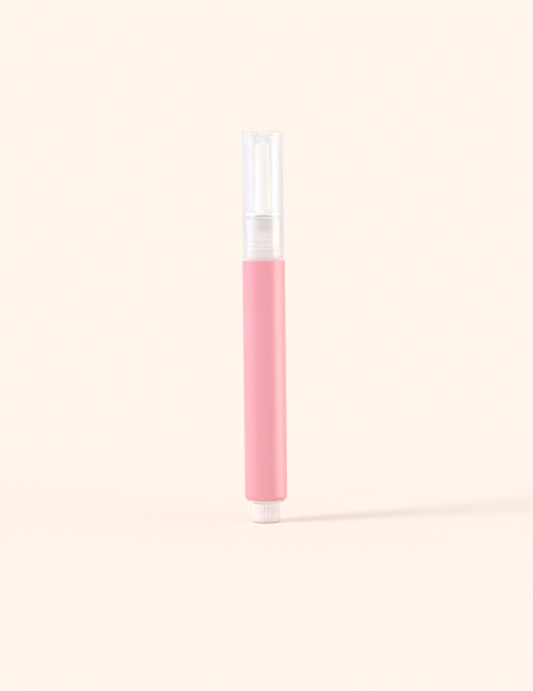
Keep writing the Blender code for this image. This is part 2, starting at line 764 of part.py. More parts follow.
def make_piston(group):
    """A wiper piston: two lips, a hollow skirt, and a snap socket for the screw's head."""
    lip_r = BORE_R - PISTON_FIT
    waist_r = lip_r - PISTON_WAIST
    skirt_r = waist_r - PISTON_SKIRT_WALL
    socket_r = SCREW_HEAD_OD / 2 + RUN_FIT
    entry_r = SCREW_NECK_OD / 2 + RUN_FIT
    boss_r = socket_r + PISTON_BOSS_WALL
    top = PISTON_HEIGHT
    socket_foot = PISTON_BOSS_RECESS + PISTON_BOSS_LIP
    socket_top = socket_foot + RUN_GAP + SCREW_HEAD_HEIGHT + RUN_FIT
    roof = top - PISTON_CROWN - PISTON_LIP
    slope = PISTON_LIP
    profile = [
        (0, top - PISTON_LIP / 2),
        (boss_r, top - PISTON_LIP / 2),
        (skirt_r, top - 2 * PISTON_LIP),
        (waist_r, top),
        (lip_r, top),
        (lip_r, top - PISTON_LIP),
        (waist_r, top - PISTON_LIP - slope),
        (waist_r, PISTON_LIP + slope),
        (lip_r, PISTON_LIP),
        (lip_r, 0),
        (waist_r, 0),
        (skirt_r, PISTON_LIP + slope),
        (skirt_r, roof),
        (boss_r, roof),
        (boss_r, PISTON_BOSS_RECESS),
        (entry_r + PRESS_FIT, PISTON_BOSS_RECESS),
        (entry_r, socket_foot),
        (socket_r, socket_foot + PISTON_BOSS_LIP / 2),
        (socket_r, socket_top),
        (0, socket_top),
    ]
    material = plastic("piston white", WHITE, 0.40)
    return turned("piston", profile, group, material, FINE_SIDES)


def make_neck(group):
    """The neck: a plug in the barrel, a flange and collar, snap beads and a decked top."""
    collar_top = NECK_FLANGE + COLLAR_HEIGHT
    deck = collar_top + NECK_HEIGHT
    hole_r = STEM_R + PRESS_FIT
    boss_r = hole_r + BOSS_WALL
    chamber_r = NECK_R - NECK_WALL
    profile = [(NECK_R - DECK_BEVEL, deck), (NECK_R, deck - DECK_BEVEL)]
    for number in reversed(range(BEAD_COUNT)):
        level = collar_top + BEAD_FIRST + number * BEAD_PITCH
        profile += [
            (NECK_R, level + BEAD_FOOT / 2),
            (NECK_R + BEAD_HEIGHT, level + BEAD_CREST / 2),
            (NECK_R + BEAD_HEIGHT, level - BEAD_CREST / 2),
            (NECK_R, level - BEAD_FOOT / 2),
        ]
    profile += [
        (NECK_R, collar_top),
        (COLLAR_R - RIM_BEVEL, collar_top),
        (COLLAR_R, collar_top - RIM_BEVEL),
        (COLLAR_R, NECK_FLANGE),
        (BARREL_R - RIM_BEVEL, NECK_FLANGE),
        (BARREL_R, NECK_FLANGE - RIM_BEVEL),
        (BARREL_R, RIM_BEVEL),
        (BARREL_R - RIM_BEVEL, 0),
        (PLUG_R, 0),
        (PLUG_R, PLUG_BEVEL - PLUG_LENGTH),
        (PLUG_R - PLUG_BEVEL, -PLUG_LENGTH),
        (chamber_r, -PLUG_LENGTH),
        (chamber_r, deck - DECK_THICKNESS),
        (boss_r, deck - DECK_THICKNESS),
        (boss_r, deck - BOSS_DEPTH),
        (hole_r, deck - BOSS_DEPTH),
        (hole_r, deck),
    ]
    material = plastic("neck natural", NATURAL, 0.30)
    return turned("nozzle_neck", profile, group, material, FINE_SIDES)


def make_brush_seat(group):
    """The stem that snaps through the deck, and the nose that holds the ferrule."""
    socket_r = FERRULE_R + PRESS_FIT
    barb_top = DECK_Z - BOSS_DEPTH - FACE_GAP - SEAT_Z
    barb_foot = barb_top - STEM_BARB_HEIGHT
    flange_r = SEAT_FLANGE_OD / 2
    profile = [
        (NOSE_R - RIM_BEVEL, NOSE_HEIGHT),
        (NOSE_R, NOSE_HEIGHT - RIM_BEVEL),
        (NOSE_R, SEAT_FLANGE),
        (flange_r - RIM_BEVEL, SEAT_FLANGE),
        (flange_r, SEAT_FLANGE - RIM_BEVEL),
        (flange_r, 0),
        (STEM_R, 0),
        (STEM_R, barb_top),
        (STEM_R + STEM_BARB, barb_top),
        (STEM_R + STEM_BARB, barb_foot),
        (STEM_R - STEM_BARB, barb_foot - STEM_TIP),
        (TUBE_HOLE_R, barb_foot - STEM_TIP),
        (TUBE_HOLE_R, NOSE_HEIGHT - NOSE_SOCKET),
        (socket_r, NOSE_HEIGHT - NOSE_SOCKET),
        (socket_r, NOSE_HEIGHT),
    ]
    material = plastic("seat natural", NATURAL, 0.30)
    return turned("brush_seat", profile, group, material, SMALL_SIDES)


def make_ferrule(group):
    profile = [
        (FERRULE_R - FERRULE_BEVEL, FERRULE_LENGTH),
        (FERRULE_R, FERRULE_LENGTH - FERRULE_BEVEL),
        (FERRULE_R, 0),
        (TUBE_HOLE_R, 0),
        (TUBE_HOLE_R, FERRULE_LENGTH - BRISTLE_GRIP),
        (FERRULE_BORE_R, FERRULE_LENGTH - BRISTLE_GRIP),
        (FERRULE_BORE_R, FERRULE_LENGTH),
    ]
    material = plastic("ferrule natural", NATURAL, 0.30)
    return turned("brush_ferrule", profile, group, material, SMALL_SIDES)


def make_feed_tube(group):
    length = FERRULE_TOP_Z + TUBE_RISE - STEM_END_Z + TUBE_DROP
    bore_r = TUBE_BORE / 2
    profile = [(TUBE_R, length), (TUBE_R, 0), (bore_r, 0), (bore_r, length)]
    return turned("feed_tube", profile, group, plastic("tube clear", CLEAR, 0.20), TUBE_SIDES)


def strand_roots():
    """Roots of the strands, close packed in the ring between the tube and the ferrule."""
    inner = TUBE_HOLE_R + BRISTLE_ROOT
    outer = TUFT_R - BRISTLE_ROOT
    row_step = BRISTLE_SPACING * sqrt(3) / 2
    rows = ceil(outer / row_step)
    roots = []
    for row in range(-rows, rows + 1):
        shift = (row % 2) / 2
        for column in range(-rows - 1, rows + 2):
            x = (column + shift) * BRISTLE_SPACING
            y = row * row_step
            if inner < sqrt(x * x + y * y) < outer:
                roots.append((x, y))
    return roots


def make_bristles(group, cutters):
    """A tuft of three-sided strands that taper, gather and end in a dome."""
    profile = [
        (TUFT_R, BRISTLE_SLICE),
        (TUFT_R, 0),
        (TUBE_HOLE_R, 0),
        (TUBE_HOLE_R, BRISTLE_SLICE),
    ]
    material = plastic("bristle cream", CREAM, 0.50)
    tuft = turned("brush_bristles", profile, group, material, FINE_SIDES)

    foot = BRISTLE_SLICE / 2
    full_height = BRISTLE_TIP_Z - BRISTLE_Z
    strands = bmesh.new()
    for x, y in strand_roots():
        share = (x * x + y * y) / TUFT_R**2
        height = full_height - BRISTLE_DOME * share
        strand = bmesh.ops.create_cone(
            strands,
            cap_ends=True,
            segments=3,
            radius1=BRISTLE_ROOT,
            radius2=BRISTLE_TIP,
            depth=height - foot,
        )
        for vertex in strand["verts"]:
            gather = BRISTLE_GATHER if vertex.co.z > 0 else 1
            vertex.co.x += x * gather
            vertex.co.y += y * gather
            vertex.co.z += (height + foot) / 2
    mesh = bpy.data.meshes.new("strands")
    strands.to_mesh(mesh)
    strands.free()
    tool = bpy.data.objects.new("strands", mesh)
    cutters.objects.link(tool)
    place(tool, BRISTLE_Z)
    combine(tuft, tool, "UNION")
    return tuft


def make_inner_cap(group):
    """A hat-shaped inner cap: its brim fits the outer cap, its crown covers the brush."""
    length = INNER_CAP_TOP_Z - INNER_CAP_Z
    mouth_r = INNER_CAP_MOUTH_R + INNER_CAP_WALL
    tip_r = mouth_r - INNER_CAP_TAPER
    inner_tip_r = tip_r - INNER_CAP_WALL
    shoulder = length - INNER_CAP_DOME
    inner_rise = INNER_CAP_DOME - INNER_CAP_WALL
    quarter = arc((0, 0), 1, pi / 2, 0)
    crown = [(x * tip_r, shoulder + y * INNER_CAP_DOME) for x, y in quarter[1:]]
    lining = [(x * inner_tip_r, shoulder + y * inner_rise) for x, y in reversed(quarter[1:])]
    brim_r = CAP_BORE_R - PRESS_FIT
    profile = [
        (0, length),
        *crown,
        (mouth_r, INNER_CAP_BRIM),
        (brim_r, INNER_CAP_BRIM),
        (brim_r, 0),
        (INNER_CAP_MOUTH_R, 0),
        *lining,
        (0, length - INNER_CAP_WALL),
    ]
    material = plastic("inner cap natural", CLEAR, 0.25, 0.6)
    return turned("inner_cap", profile, group, material, FINE_SIDES)


def make_cap(group):
    length = CAP_TOP_Z - CAP_Z
    roof = length - CAP_TOP
    corner = (CAP_R - CAP_TOP_ROUND, length - CAP_TOP_ROUND)
    inner_corner = (CAP_BORE_R - CAP_INNER_ROUND, roof - CAP_INNER_ROUND)
    profile = [
        (0, length),
        *arc(corner, CAP_TOP_ROUND, pi / 2, 0),
        (CAP_R, RIM_BEVEL),
        (CAP_R - RIM_BEVEL, 0),
        (CAP_BORE_R + CAP_LEAD_IN, 0),
        (CAP_BORE_R, CAP_LEAD_IN),
        *arc(inner_corner, CAP_INNER_ROUND, 0, pi / 2, 3),
        (0, roof),
    ]
    return turned("cap_shell", profile, group, plastic("cap clear", CLEAR, 0.06, 0.35))


def main():
    clear_scene()
    pen = new_collection("Brush pen")
    cutters = new_collection("Cutters")

    cap_carrier = carrier_at("cap_pull", CAP_Z, pen)
    knob_carrier = carrier_at("knob_turn", 0, pen)
    screw_carrier = carrier_at("screw_feed", SCREW_Z, pen, knob_carrier)
    piston_carrier = carrier_at("piston_travel", PISTON_Z, pen)

    fixed = [
        (make_barrel(pen, cutters), TAIL_Z),
        (make_tail_bush(pen, cutters), TAIL_Z),
        (make_ratchet_ring(pen), RATCHET_Z),
        (make_guide_nut(pen, cutters), NUT_Z),
        (make_neck(pen), NECK_Z),
        (make_brush_seat(pen), SEAT_Z),
        (make_ferrule(pen), FERRULE_Z),
        (make_feed_tube(pen), STEM_END_Z - TUBE_DROP),
        (make_bristles(pen, cutters), BRISTLE_Z),
    ]
    for piece, height in fixed:
        place(piece, height)
    place(make_cap(pen), CAP_Z, cap_carrier)
    place(make_inner_cap(pen), INNER_CAP_Z, cap_carrier)
    place(make_knob(pen, cutters), 0, knob_carrier)
    place(make_drive_sleeve(pen, cutters), SLEEVE_Z, knob_carrier)
    place(make_click_spring(pen), SPRING_Z, knob_carrier)
    screw = make_lead_screw(pen, cutters)
    screw.parent = screw_carrier
    place(make_piston(pen), PISTON_Z, piston_carrier)


main()
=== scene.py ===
"""Finish and stage of a twist-up brush pen for nail glue remover.

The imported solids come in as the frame, in metres with +Z up, and the pen stands on its
knob at the origin. Each operator makes one piece, or one group of like pieces, on the
pen's axis and between the same seats as its solid, but for the three joints named below
and for the neck's boss with the stem in it.
"""

import json
from math import cos, pi, radians, sin, tan

import bmesh
import bpy
from mathutils import Matrix, Vector


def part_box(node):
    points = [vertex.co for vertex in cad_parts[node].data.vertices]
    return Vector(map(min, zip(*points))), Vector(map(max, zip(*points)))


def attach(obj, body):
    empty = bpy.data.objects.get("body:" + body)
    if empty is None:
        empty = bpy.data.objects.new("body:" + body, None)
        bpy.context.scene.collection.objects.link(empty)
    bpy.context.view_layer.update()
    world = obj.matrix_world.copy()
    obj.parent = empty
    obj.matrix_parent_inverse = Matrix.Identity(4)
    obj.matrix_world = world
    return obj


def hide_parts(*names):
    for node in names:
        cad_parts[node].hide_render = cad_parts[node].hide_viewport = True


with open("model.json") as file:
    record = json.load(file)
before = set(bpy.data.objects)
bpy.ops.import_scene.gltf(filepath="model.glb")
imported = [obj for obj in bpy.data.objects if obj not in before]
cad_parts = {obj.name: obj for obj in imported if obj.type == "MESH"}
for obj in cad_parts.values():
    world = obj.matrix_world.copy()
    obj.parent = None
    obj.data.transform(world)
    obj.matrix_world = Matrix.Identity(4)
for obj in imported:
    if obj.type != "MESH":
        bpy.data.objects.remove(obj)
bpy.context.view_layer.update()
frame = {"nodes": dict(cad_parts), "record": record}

bl_info = {
    "name": "Twist-up brush pen",
    "version": (1, 0, 0),
    "blender": (4, 5, 0),
    "location": "3D View > Sidebar > Brush pen",
    "description": "Builds the finished pieces of a twist-up brush pen round its solids",
    "category": "Object",
}

TURN = 2 * pi
MM = 0.001
MICRON = 0.000001

# Facets
FINE_SIDES = 192
SLIM_SIDES = 96
TUBE_SIDES = 64
CORNER_STEPS = 6
CREASE = radians(30)
WELD = 0.1 * MICRON

# Corners that moulding leaves round
SEAM_EDGE = 0.03 * MM
SOFT_EDGE = 0.08 * MM
EDGE = 0.15 * MM
FILLET = 0.2 * MM

# Joints that differ from the solids': how far the flange's joint with the barrel is raised,
# how wide it is, and how wide the tail bush's joints with the barrel and the knob are
SEAM_RISE = 0.18 * MM
FLANGE_SEAM = 0.02 * MM
TAIL_SEAM = 0.03 * MM
KNOB_SEAM = 0.05 * MM

# Sizes that pieces share, as the solids have them
FACE_GAP = 0.1 * MM
PRESS_FIT = 0.1 * MM
TAIL_COVER = radians(38)
SLEEVE_HOLE = 3.1 * MM
NUT_LEDGE = 0.3 * MM
NUT_SKIRT = 4.3 * MM
NUT_WEB = 1.3 * MM
SPLINES = 4
SPLINE_WIDTH = 0.9 * MM
SPLINE_HEIGHT = 0.22 * MM
SPLINE_ROOT = 0.3 * MM

# Width of the patches in which a plastic's tint, gloss and flow drift, and the range that
# most of a noise's values lie in
DRIFT_SIZE = 9.0 * MM
WEAR_SIZE = 1.6 * MM
FLOW_SIZE = 6.0 * MM
NOISE_LOW = 0.3
NOISE_HIGH = 0.7

# How much less milky and clear plastic hold back of the light than of the view through them
MILKY_EASE = 0.6
CLEAR_EASE = 0.85

# Sockets of a Mix node when it mixes colours
MIX_A = 6
MIX_B = 7
MIX_RESULT = 2

WHITE = (1.0, 1.0, 1.0, 1.0)

RECORD = frame["record"]
BODIES = {
    node: body for body, nodes in RECORD["behaviour"]["bodies"].items() for node in nodes
}


def foot_of(node):
    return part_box(node)[0].z


def top_of(node):
    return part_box(node)[1].z


def radius_of(node):
    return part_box(node)[1].y


def length_property(**said):
    """A length for a user to change. said holds its name, description and default."""
    return bpy.props.FloatProperty(precision=5, subtype="DISTANCE", unit="LENGTH", **said)


def colour_property(**said):
    """A colour for a user to change. said holds its name, description and default."""
    return bpy.props.FloatVectorProperty(subtype="COLOR", size=3, min=0, max=1, **said)


class PenSizes(bpy.types.PropertyGroup):
    """Sizes of the pen that a user would change."""

    barrel_radius: length_property(
        name="Barrel radius",
        description="Outside radius of the barrel",
        default=radius_of("barrel"),
    )
    barrel_wall: length_property(
        name="Barrel wall",
        description="Thickness of the barrel's wall above the nut",
        default=1.5 * MM,
    )
    tail_round: length_property(
        name="Tail rounding",
        description="Radius of the barrel's rounded tail end",
        default=2.5 * MM,
    )
    cap_radius: length_property(
        name="Cap radius",
        description="Outside radius of the clear cap",
        default=radius_of("cap_shell"),
    )
    cap_wall: length_property(
        name="Cap wall",
        description="Thickness of the clear cap's wall",
        default=0.95 * MM,
    )
    cap_roof: length_property(
        name="Cap roof",
        description="Thickness of the clear cap's flat top",
        default=1.4 * MM,
    )
    beads: bpy.props.IntProperty(
        name="Beads",
        description="Number of raised rings on the neck that the cap catches on",
        default=3,
        min=1,
    )
    ribs: bpy.props.IntProperty(
        name="Ribs",
        description="Number of grooves round the knob",
        default=24,
        min=3,
    )
    groove_depth: length_property(
        name="Groove depth",
        description="Depth of the grooves round the knob",
        default=0.2 * MM,
    )
    strands: bpy.props.IntProperty(
        name="Strands",
        description="Number of strands in the tuft",
        default=620,
        min=1,
    )


class PenColours(bpy.types.PropertyGroup):
    """Colours of the pen's plastics."""

    barrel: colour_property(
        name="Barrel",
        description="Satin pink of the barrel",
        default=(0.80, 0.298, 0.372),
    )
    natural: colour_property(
        name="Natural plastic",
        description="Tint of the neck and the ferrule",
        default=(0.86, 0.815, 0.80),
    )
    # Painted shade: the knob is darker at its foot, where it faces the floor
    knob_foot_shade: colour_property(
        name="Natural plastic, deep",
        description="Tint of the knob's solid foot",
        default=(0.78, 0.71, 0.70),
    )
    # Painted shade: the stem is darkened to stand for the dim inside of the neck
    stem: colour_property(
        name="Stem",
        description="Tint of the solid stem that holds the brush in the neck",
        default=(0.46, 0.41, 0.42),
    )
    knob: colour_property(
        name="Knob",
        description="Tint of the ribbed knob",
        default=(0.83, 0.77, 0.785),
    )
    # Painted light: the knob is paler at its top, against the shade that the barrel's tail casts
    # there
    knob_top_painted_light: colour_property(
        name="Knob's upper edge",
        description="Paler tint of the knob where it goes under the barrel",
        default=(0.94, 0.89, 0.90),
    )
    # Painted light: the pink light of the barrel, put into the colour of the neck's flange and
    # collar foot
    painted_pink_glow: colour_property(
        name="Blush",
        description="Tint of the neck's flange, where the pink shines into it",
        default=(0.95, 0.75, 0.755),
    )
    clear: colour_property(
        name="Clear plastic",
        description="Tint of what is seen through one face of the clear cap",
        default=(0.993, 1.0, 1.0),
    )
    haze: colour_property(
        name="Haze",
        description="Faint lilac haze in the clear cap",
        default=(0.67, 0.70, 0.79),
    )
    inner: colour_property(
        name="Inner cap",
        description="Tint of the inner cap, the feed tube, the brush seat and the tail bush",
        default=(1.0, 0.985, 0.975),
    )
    strand: colour_property(
        name="Strands",
        description="Cream of the tuft",
        default=(1.0, 0.95, 0.86),
    )
    acetal: colour_property(
        name="Mechanism",
        description="Off-white of the screw, nut, sleeve, spring and ratchet",
        default=(0.80, 0.79, 0.74),
    )
    piston: colour_property(
        name="Piston",
        description="White of the piston",
        default=(0.84, 0.84, 0.83),
    )


class StageSettings(bpy.types.PropertyGroup):
    """The floor, the light and the camera."""

    backdrop: colour_property(
        name="Backdrop",
        description="Warm white of the floor and of what lies behind it",
        default=(1.0, 0.914, 0.839),
    )
    distance: length_property(
        name="Camera distance",
        description="From the pen's axis to the camera",
        default=1.0,
    )
    height: length_property(
        name="Camera height",
        description="Height of the camera above the floor",
        default=0.135,
    )
    aim: length_property(
        name="Aim",
        description="Height on the pen's axis that the camera looks at",
        default=0.06218,
    )
    aside: length_property(
        name="Aside",
        description="How far the camera and its aim stand to the right of the axis",
        default=0.00068,
    )
    roll: bpy.props.FloatProperty(
        name="Roll",
        description="Tilt of the picture, clockwise",
        default=radians(0.6),
        subtype="ANGLE",
    )
    lens: bpy.props.FloatProperty(
        name="Lens",
        description="Focal length in millimetres for a picture 36 mm high",
        default=149.1,
    )


class Wire:
    """A socket of a node tree. Arithmetic on wires adds Math nodes."""

    def __init__(self, nodes, socket):
        self.nodes = nodes
        self.socket = socket

    def __add__(self, other):
        return self.nodes.maths("ADD", self, other)

    __radd__ = __add__

    def __neg__(self):
        return self.nodes.maths("SUBTRACT", 0.0, self)

    def __sub__(self, other):
        return self.nodes.maths("SUBTRACT", self, other)

    def __rsub__(self, other):
        return self.nodes.maths("SUBTRACT", other, self)

    def __mul__(self, other):
        return self.nodes.maths("MULTIPLY", self, other)

    __rmul__ = __mul__

    def __truediv__(self, other):
        return self.nodes.maths("DIVIDE", self, other)


class Nodes:
    """A node tree that is being wired."""

    def __init__(self, tree):
        self.tree = tree

    def add(self, kind, inputs=None, output=0, **settings):
        """Make a node, set it, feed its sockets, and return one of its outputs."""
        node = self.tree.nodes.new(kind)
        for name, setting in settings.items():
            setattr(node, name, setting)
        for key, value in (inputs or {}).items():
            for feed in value if isinstance(value, list) else [value]:
                if isinstance(feed, Wire):
                    self.tree.links.new(feed.socket, node.inputs[key])
                else:
                    node.inputs[key].default_value = feed
        return Wire(self, node.outputs[output]) if node.outputs else None

    def maths(self, operation, first, second=0.0):
        return self.add("ShaderNodeMath", {0: first, 1: second}, operation=operation)

    def parts(self, vector):
        """The x, y and z of a vector."""
        return [self.add("ShaderNodeSeparateXYZ", {0: vector}, output=i) for i in range(3)]

    def vector(self, x=0.0, y=0.0, z=0.0):
        return self.add("ShaderNodeCombineXYZ", {0: x, 1: y, 2: z})

    def length(self, vector):
        return self.add("ShaderNodeVectorMath", {0: vector}, output=1, operation="LENGTH")

    def noise(self, place, size):
        """Noise whose patches are about as wide as size."""
        return self.add("ShaderNodeTexNoise", {"Vector": place, "Scale": 1 / size})

    def aslant(self):
        """0 where a surface is seen straight on, and 1 where it is seen edge on."""
        return self.add("ShaderNodeLayerWeight", {"Blend": 0.5}, output=1)

    def step(self, value, start, end, low=0.0, high=1.0):
        """A value that goes smoothly from low at start to high at end."""
        return self.add(
            "ShaderNodeMapRange",
            {0: value, 1: start, 2: end, 3: low, 4: high},
            interpolation_type="SMOOTHSTEP",
        )

    def blend(self, factor, first, second):
        """A colour between two colours."""
        ends = {0: factor, MIX_A: first, MIX_B: second}
        return self.add("ShaderNodeMix", ends, output=MIX_RESULT, data_type="RGBA")


def rgba(colour):
    return (*colour, 1.0)


def shade(colour, factor):
    """A colour made lighter or darker, as an opaque four-part colour."""
    return rgba([min(1.0, part * factor) for part in colour])


def new_material(name):
    material = bpy.data.materials.new(name)
    material.use_nodes = True
    material.node_tree.nodes.clear()
    return material, Nodes(material.node_tree)


def plastic(
    name, colour, gloss, grain, depth, mottle=0.02, scuff=0.04, painted_light_and_shade=(), through=None, **fixed
):
    """Moulded plastic whose tint and gloss drift a little, under a fine grain.

    grain is the width and depth the height of the texture that the mould leaves. mottle
    and scuff are how far the tint and the gloss drift. Each zone is a tint painted in as light
    or shade, the height where it starts to show and the height where it is full. through is
    the share that the near side lets be seen straight on, and the share that walls inside a
    radius let be seen, with that radius. fixed holds the shader's sockets that are the same all
    over.
    """
    material, nodes = new_material(name)
    place = nodes.add("ShaderNodeTexCoord", output="Object")
    drift = nodes.noise(place, DRIFT_SIZE)
    wear = nodes.noise(place, WEAR_SIZE)
    bumps = nodes.noise(place, grain)
    normal = nodes.add("ShaderNodeBump", {"Height": bumps, "Distance": depth})
    tint = nodes.blend(drift, shade(colour, 1 - mottle), shade(colour, 1 + mottle))
    # Painted light and shade: each zone blends a tint into the plastic by height
    for painted_tint, start, full in painted_light_and_shade:
        share = nodes.step(nodes.parts(place)[2], start, full)
        tint = nodes.blend(share, tint, rgba(painted_tint))
    sockets = {
        "Base Color": tint,
        "Roughness": nodes.step(wear, NOISE_LOW, NOISE_HIGH, gloss - scuff, gloss + scuff),
        "Normal": normal,
        **fixed,
    }
    shader = nodes.add("ShaderNodeBsdfPrincipled", sockets)
    if through:
        straight_on, inside, radius = through
        change = 0.5 * MM
        front = 1.0 - nodes.add("ShaderNodeNewGeometry", output="Backfacing")
        aslant = nodes.aslant()
        pane = nodes.add("ShaderNodeBsdfTransparent", {"Color": WHITE})
        x, y, _ = nodes.parts(place)
        reach = nodes.length(nodes.vector(x, y))
        share = nodes.step(reach, radius, radius + change, inside, straight_on)
        lit = 1.0 - MILKY_EASE * carries_light(nodes)
        hidden = front * (1.0 - share * (1.0 - aslant)) * lit
        shader = nodes.add("ShaderNodeMixShader", {0: hidden, 1: pane, 2: shader})
    nodes.add("ShaderNodeOutputMaterial", {"Surface": shader})
    return material


def rounded(corners, closed):
    """The points of an outline whose corners (radius, height, rounding) are eased."""
    points = []
    last = len(corners) - 1
    for number, (radius, height, *rounding) in enumerate(corners):
        corner = Vector((radius, height))
        if not rounding or (not closed and number in (0, last)):
            points.append(corner)
            continue
        before = Vector(corners[number - 1][:2]) - corner
        after = Vector(corners[(number + 1) % len(corners)][:2]) - corner
        opening = before.angle(after)
        reach = rounding[0] / tan(opening / 2)
        bisector = (before.normalized() + after.normalized()).normalized()
        centre = corner + bisector * rounding[0] / sin(opening / 2)
        start = (corner + before.normalized() * reach - centre).normalized()
        end = (corner + after.normalized() * reach - centre).normalized()
        for i in range(CORNER_STEPS + 1):
            points.append(centre + rounding[0] * start.slerp(end, i / CORNER_STEPS))
    return points


def arc(centre, radius, start, end, steps=12):
    angles = [start + (end - start) * i / steps for i in range(steps + 1)]
    return [(centre[0] + radius * cos(a), centre[1] + radius * sin(a)) for a in angles]


def turned(name, corners, material, sides=FINE_SIDES):
    """A solid of revolution from an outline that runs down its outer side."""
    closed = corners[0][0] > 0
    outline = rounded(corners, closed)
    angles = [TURN * i / sides for i in range(sides)]
    shape = bmesh.new()
    rings = []
    for radius, height in outline:
        if radius < WELD:
            rings.append([shape.verts.new((0, 0, height))] * sides)
            continue
        rings.append([shape.verts.new((radius * cos(a), radius * sin(a), height)) for a in angles])
    pairs = list(zip(rings, rings[1:]))
    if closed:
        pairs.append((rings[-1], rings[0]))
    for upper, lower in pairs:
        for i in range(sides):
            j = (i + 1) % sides
            # Where a ring is a point on the axis, two of the four corners are one
            face = dict.fromkeys((upper[i], lower[i], lower[j], upper[j]))
            if len(face) > 2:
                shape.faces.new(tuple(face))
    bmesh.ops.recalc_face_normals(shape, faces=shape.faces)
    mesh = bpy.data.meshes.new(name)
    shape.to_mesh(mesh)
    shape.free()
    return finished(name, mesh, material)


def finished(name, mesh, material):
    """An object of a mesh, smooth but for its creases, in one material."""
    mesh.name = name
    mesh.shade_smooth()
    mesh.set_sharp_from_angle(angle=CREASE)
    mesh.materials.clear()
    mesh.materials.append(material)
    piece = bpy.data.objects.new(name, mesh)
    bpy.context.scene.collection.objects.link(piece)
    return piece


def stand_for(piece, node):
    """Hang a finished piece on its solid's body, in its solid's place."""
    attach(piece, BODIES[node])
    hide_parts(node)


def new_rule(name, inputs):
    """A Geometry Nodes tree with named inputs: the tree, its nodes and a wire for each."""
    tree = bpy.data.node_groups.new(name, "GeometryNodeTree")
    tree.interface.new_socket("Geometry", in_out="INPUT", socket_type="NodeSocketGeometry")
    tree.interface.new_socket("Geometry", in_out="OUTPUT", socket_type="NodeSocketGeometry")
    for title, value in inputs.items():
        kind = "NodeSocketInt" if isinstance(value, int) else "NodeSocketFloat"
        tree.interface.new_socket(title, in_out="INPUT", socket_type=kind)
    nodes = Nodes(tree)
    group = tree.nodes.new("NodeGroupInput")
    return nodes, {socket.name: Wire(nodes, socket) for socket in group.outputs if socket.name}


def end_rule(nodes, geometry, material):
    """Close a tree with real geometry in one material."""
    real = nodes.add("GeometryNodeRealizeInstances", {0: geometry})
    painted = nodes.add("GeometryNodeSetMaterial", {0: real, "Material": material})
    nodes.add("NodeGroupOutput", {0: painted})


def apply_rule(piece, nodes, values):
    """Run a Geometry Nodes tree on a piece and keep the result as its plain mesh."""
    rule = piece.modifiers.new(nodes.tree.name, "NODES")
    rule.node_group = nodes.tree
    for item in nodes.tree.interface.items_tree:
        if item.in_out == "INPUT" and item.name in values:
            rule[item.identifier] = values[item.name]
    bpy.context.view_layer.update()
    evaluated = piece.evaluated_get(bpy.context.evaluated_depsgraph_get())
    mesh = bpy.data.meshes.new_from_object(evaluated)
    name = piece.name
    material = piece.data.materials[0]
    bpy.data.objects.remove(piece, do_unlink=True)
    clean = bmesh.new()
    clean.from_mesh(mesh)
    bmesh.ops.remove_doubles(clean, verts=clean.verts, dist=WELD)
    bmesh.ops.recalc_face_normals(clean, faces=clean.faces)
    clean.to_mesh(mesh)
    clean.free()
    return finished(name, mesh, material)


def keyed(piece, operation, radius, foot, length, play=0.0):
    """Add the barrel's splines to a piece, or cut the ways that they slide in."""
    values = {
        "Count": SPLINES,
        "Inside": radius - SPLINE_HEIGHT - play,
        "Outside": radius + SPLINE_ROOT,
        "Width": SPLINE_WIDTH + 2 * play,
        "Foot": foot,
        "Length": length,
    }
    nodes, wires = new_rule("Splines", values)
    middle = (wires["Inside"] + wires["Outside"]) / 2
    depth = wires["Outside"] - wires["Inside"]
    size = nodes.vector(depth, wires["Width"], wires["Length"])
    block = nodes.add("GeometryNodeMeshCube", {"Size": size})
    spot = nodes.vector(middle, 0.0, wires["Foot"] + wires["Length"] / 2)
    bar = nodes.add("GeometryNodeTransform", {0: block, "Translation": spot})
    number = nodes.add("GeometryNodeInputIndex")
    turn = nodes.vector(z=(number + 0.5) * TURN / wires["Count"])
    points = nodes.add("GeometryNodePoints", {"Count": wires["Count"]})
    bars = nodes.add(
        "GeometryNodeInstanceOnPoints",
        {"Points": points, "Instance": bar, "Rotation": turn},
    )
    bars = nodes.add("GeometryNodeRealizeInstances", {0: bars})
    if operation == "UNION":
        feeds = {1: [wires["Geometry"], bars]}
    else:
        feeds = {0: wires["Geometry"], 1: bars}
    joined = nodes.add("GeometryNodeMeshBoolean", feeds, operation=operation, solver="EXACT")
    end_rule(nodes, joined, piece.data.materials[0])
    return apply_rule(piece, nodes, values)


def tail_point(sizes, angle):
    """A point on the rounded tail, at an angle below level."""
    tail = foot_of("tail_bush") + sizes.tail_round
    return (
        sizes.barrel_radius - sizes.tail_round + sizes.tail_round * cos(angle),
        tail - sizes.tail_round * sin(angle),
    )


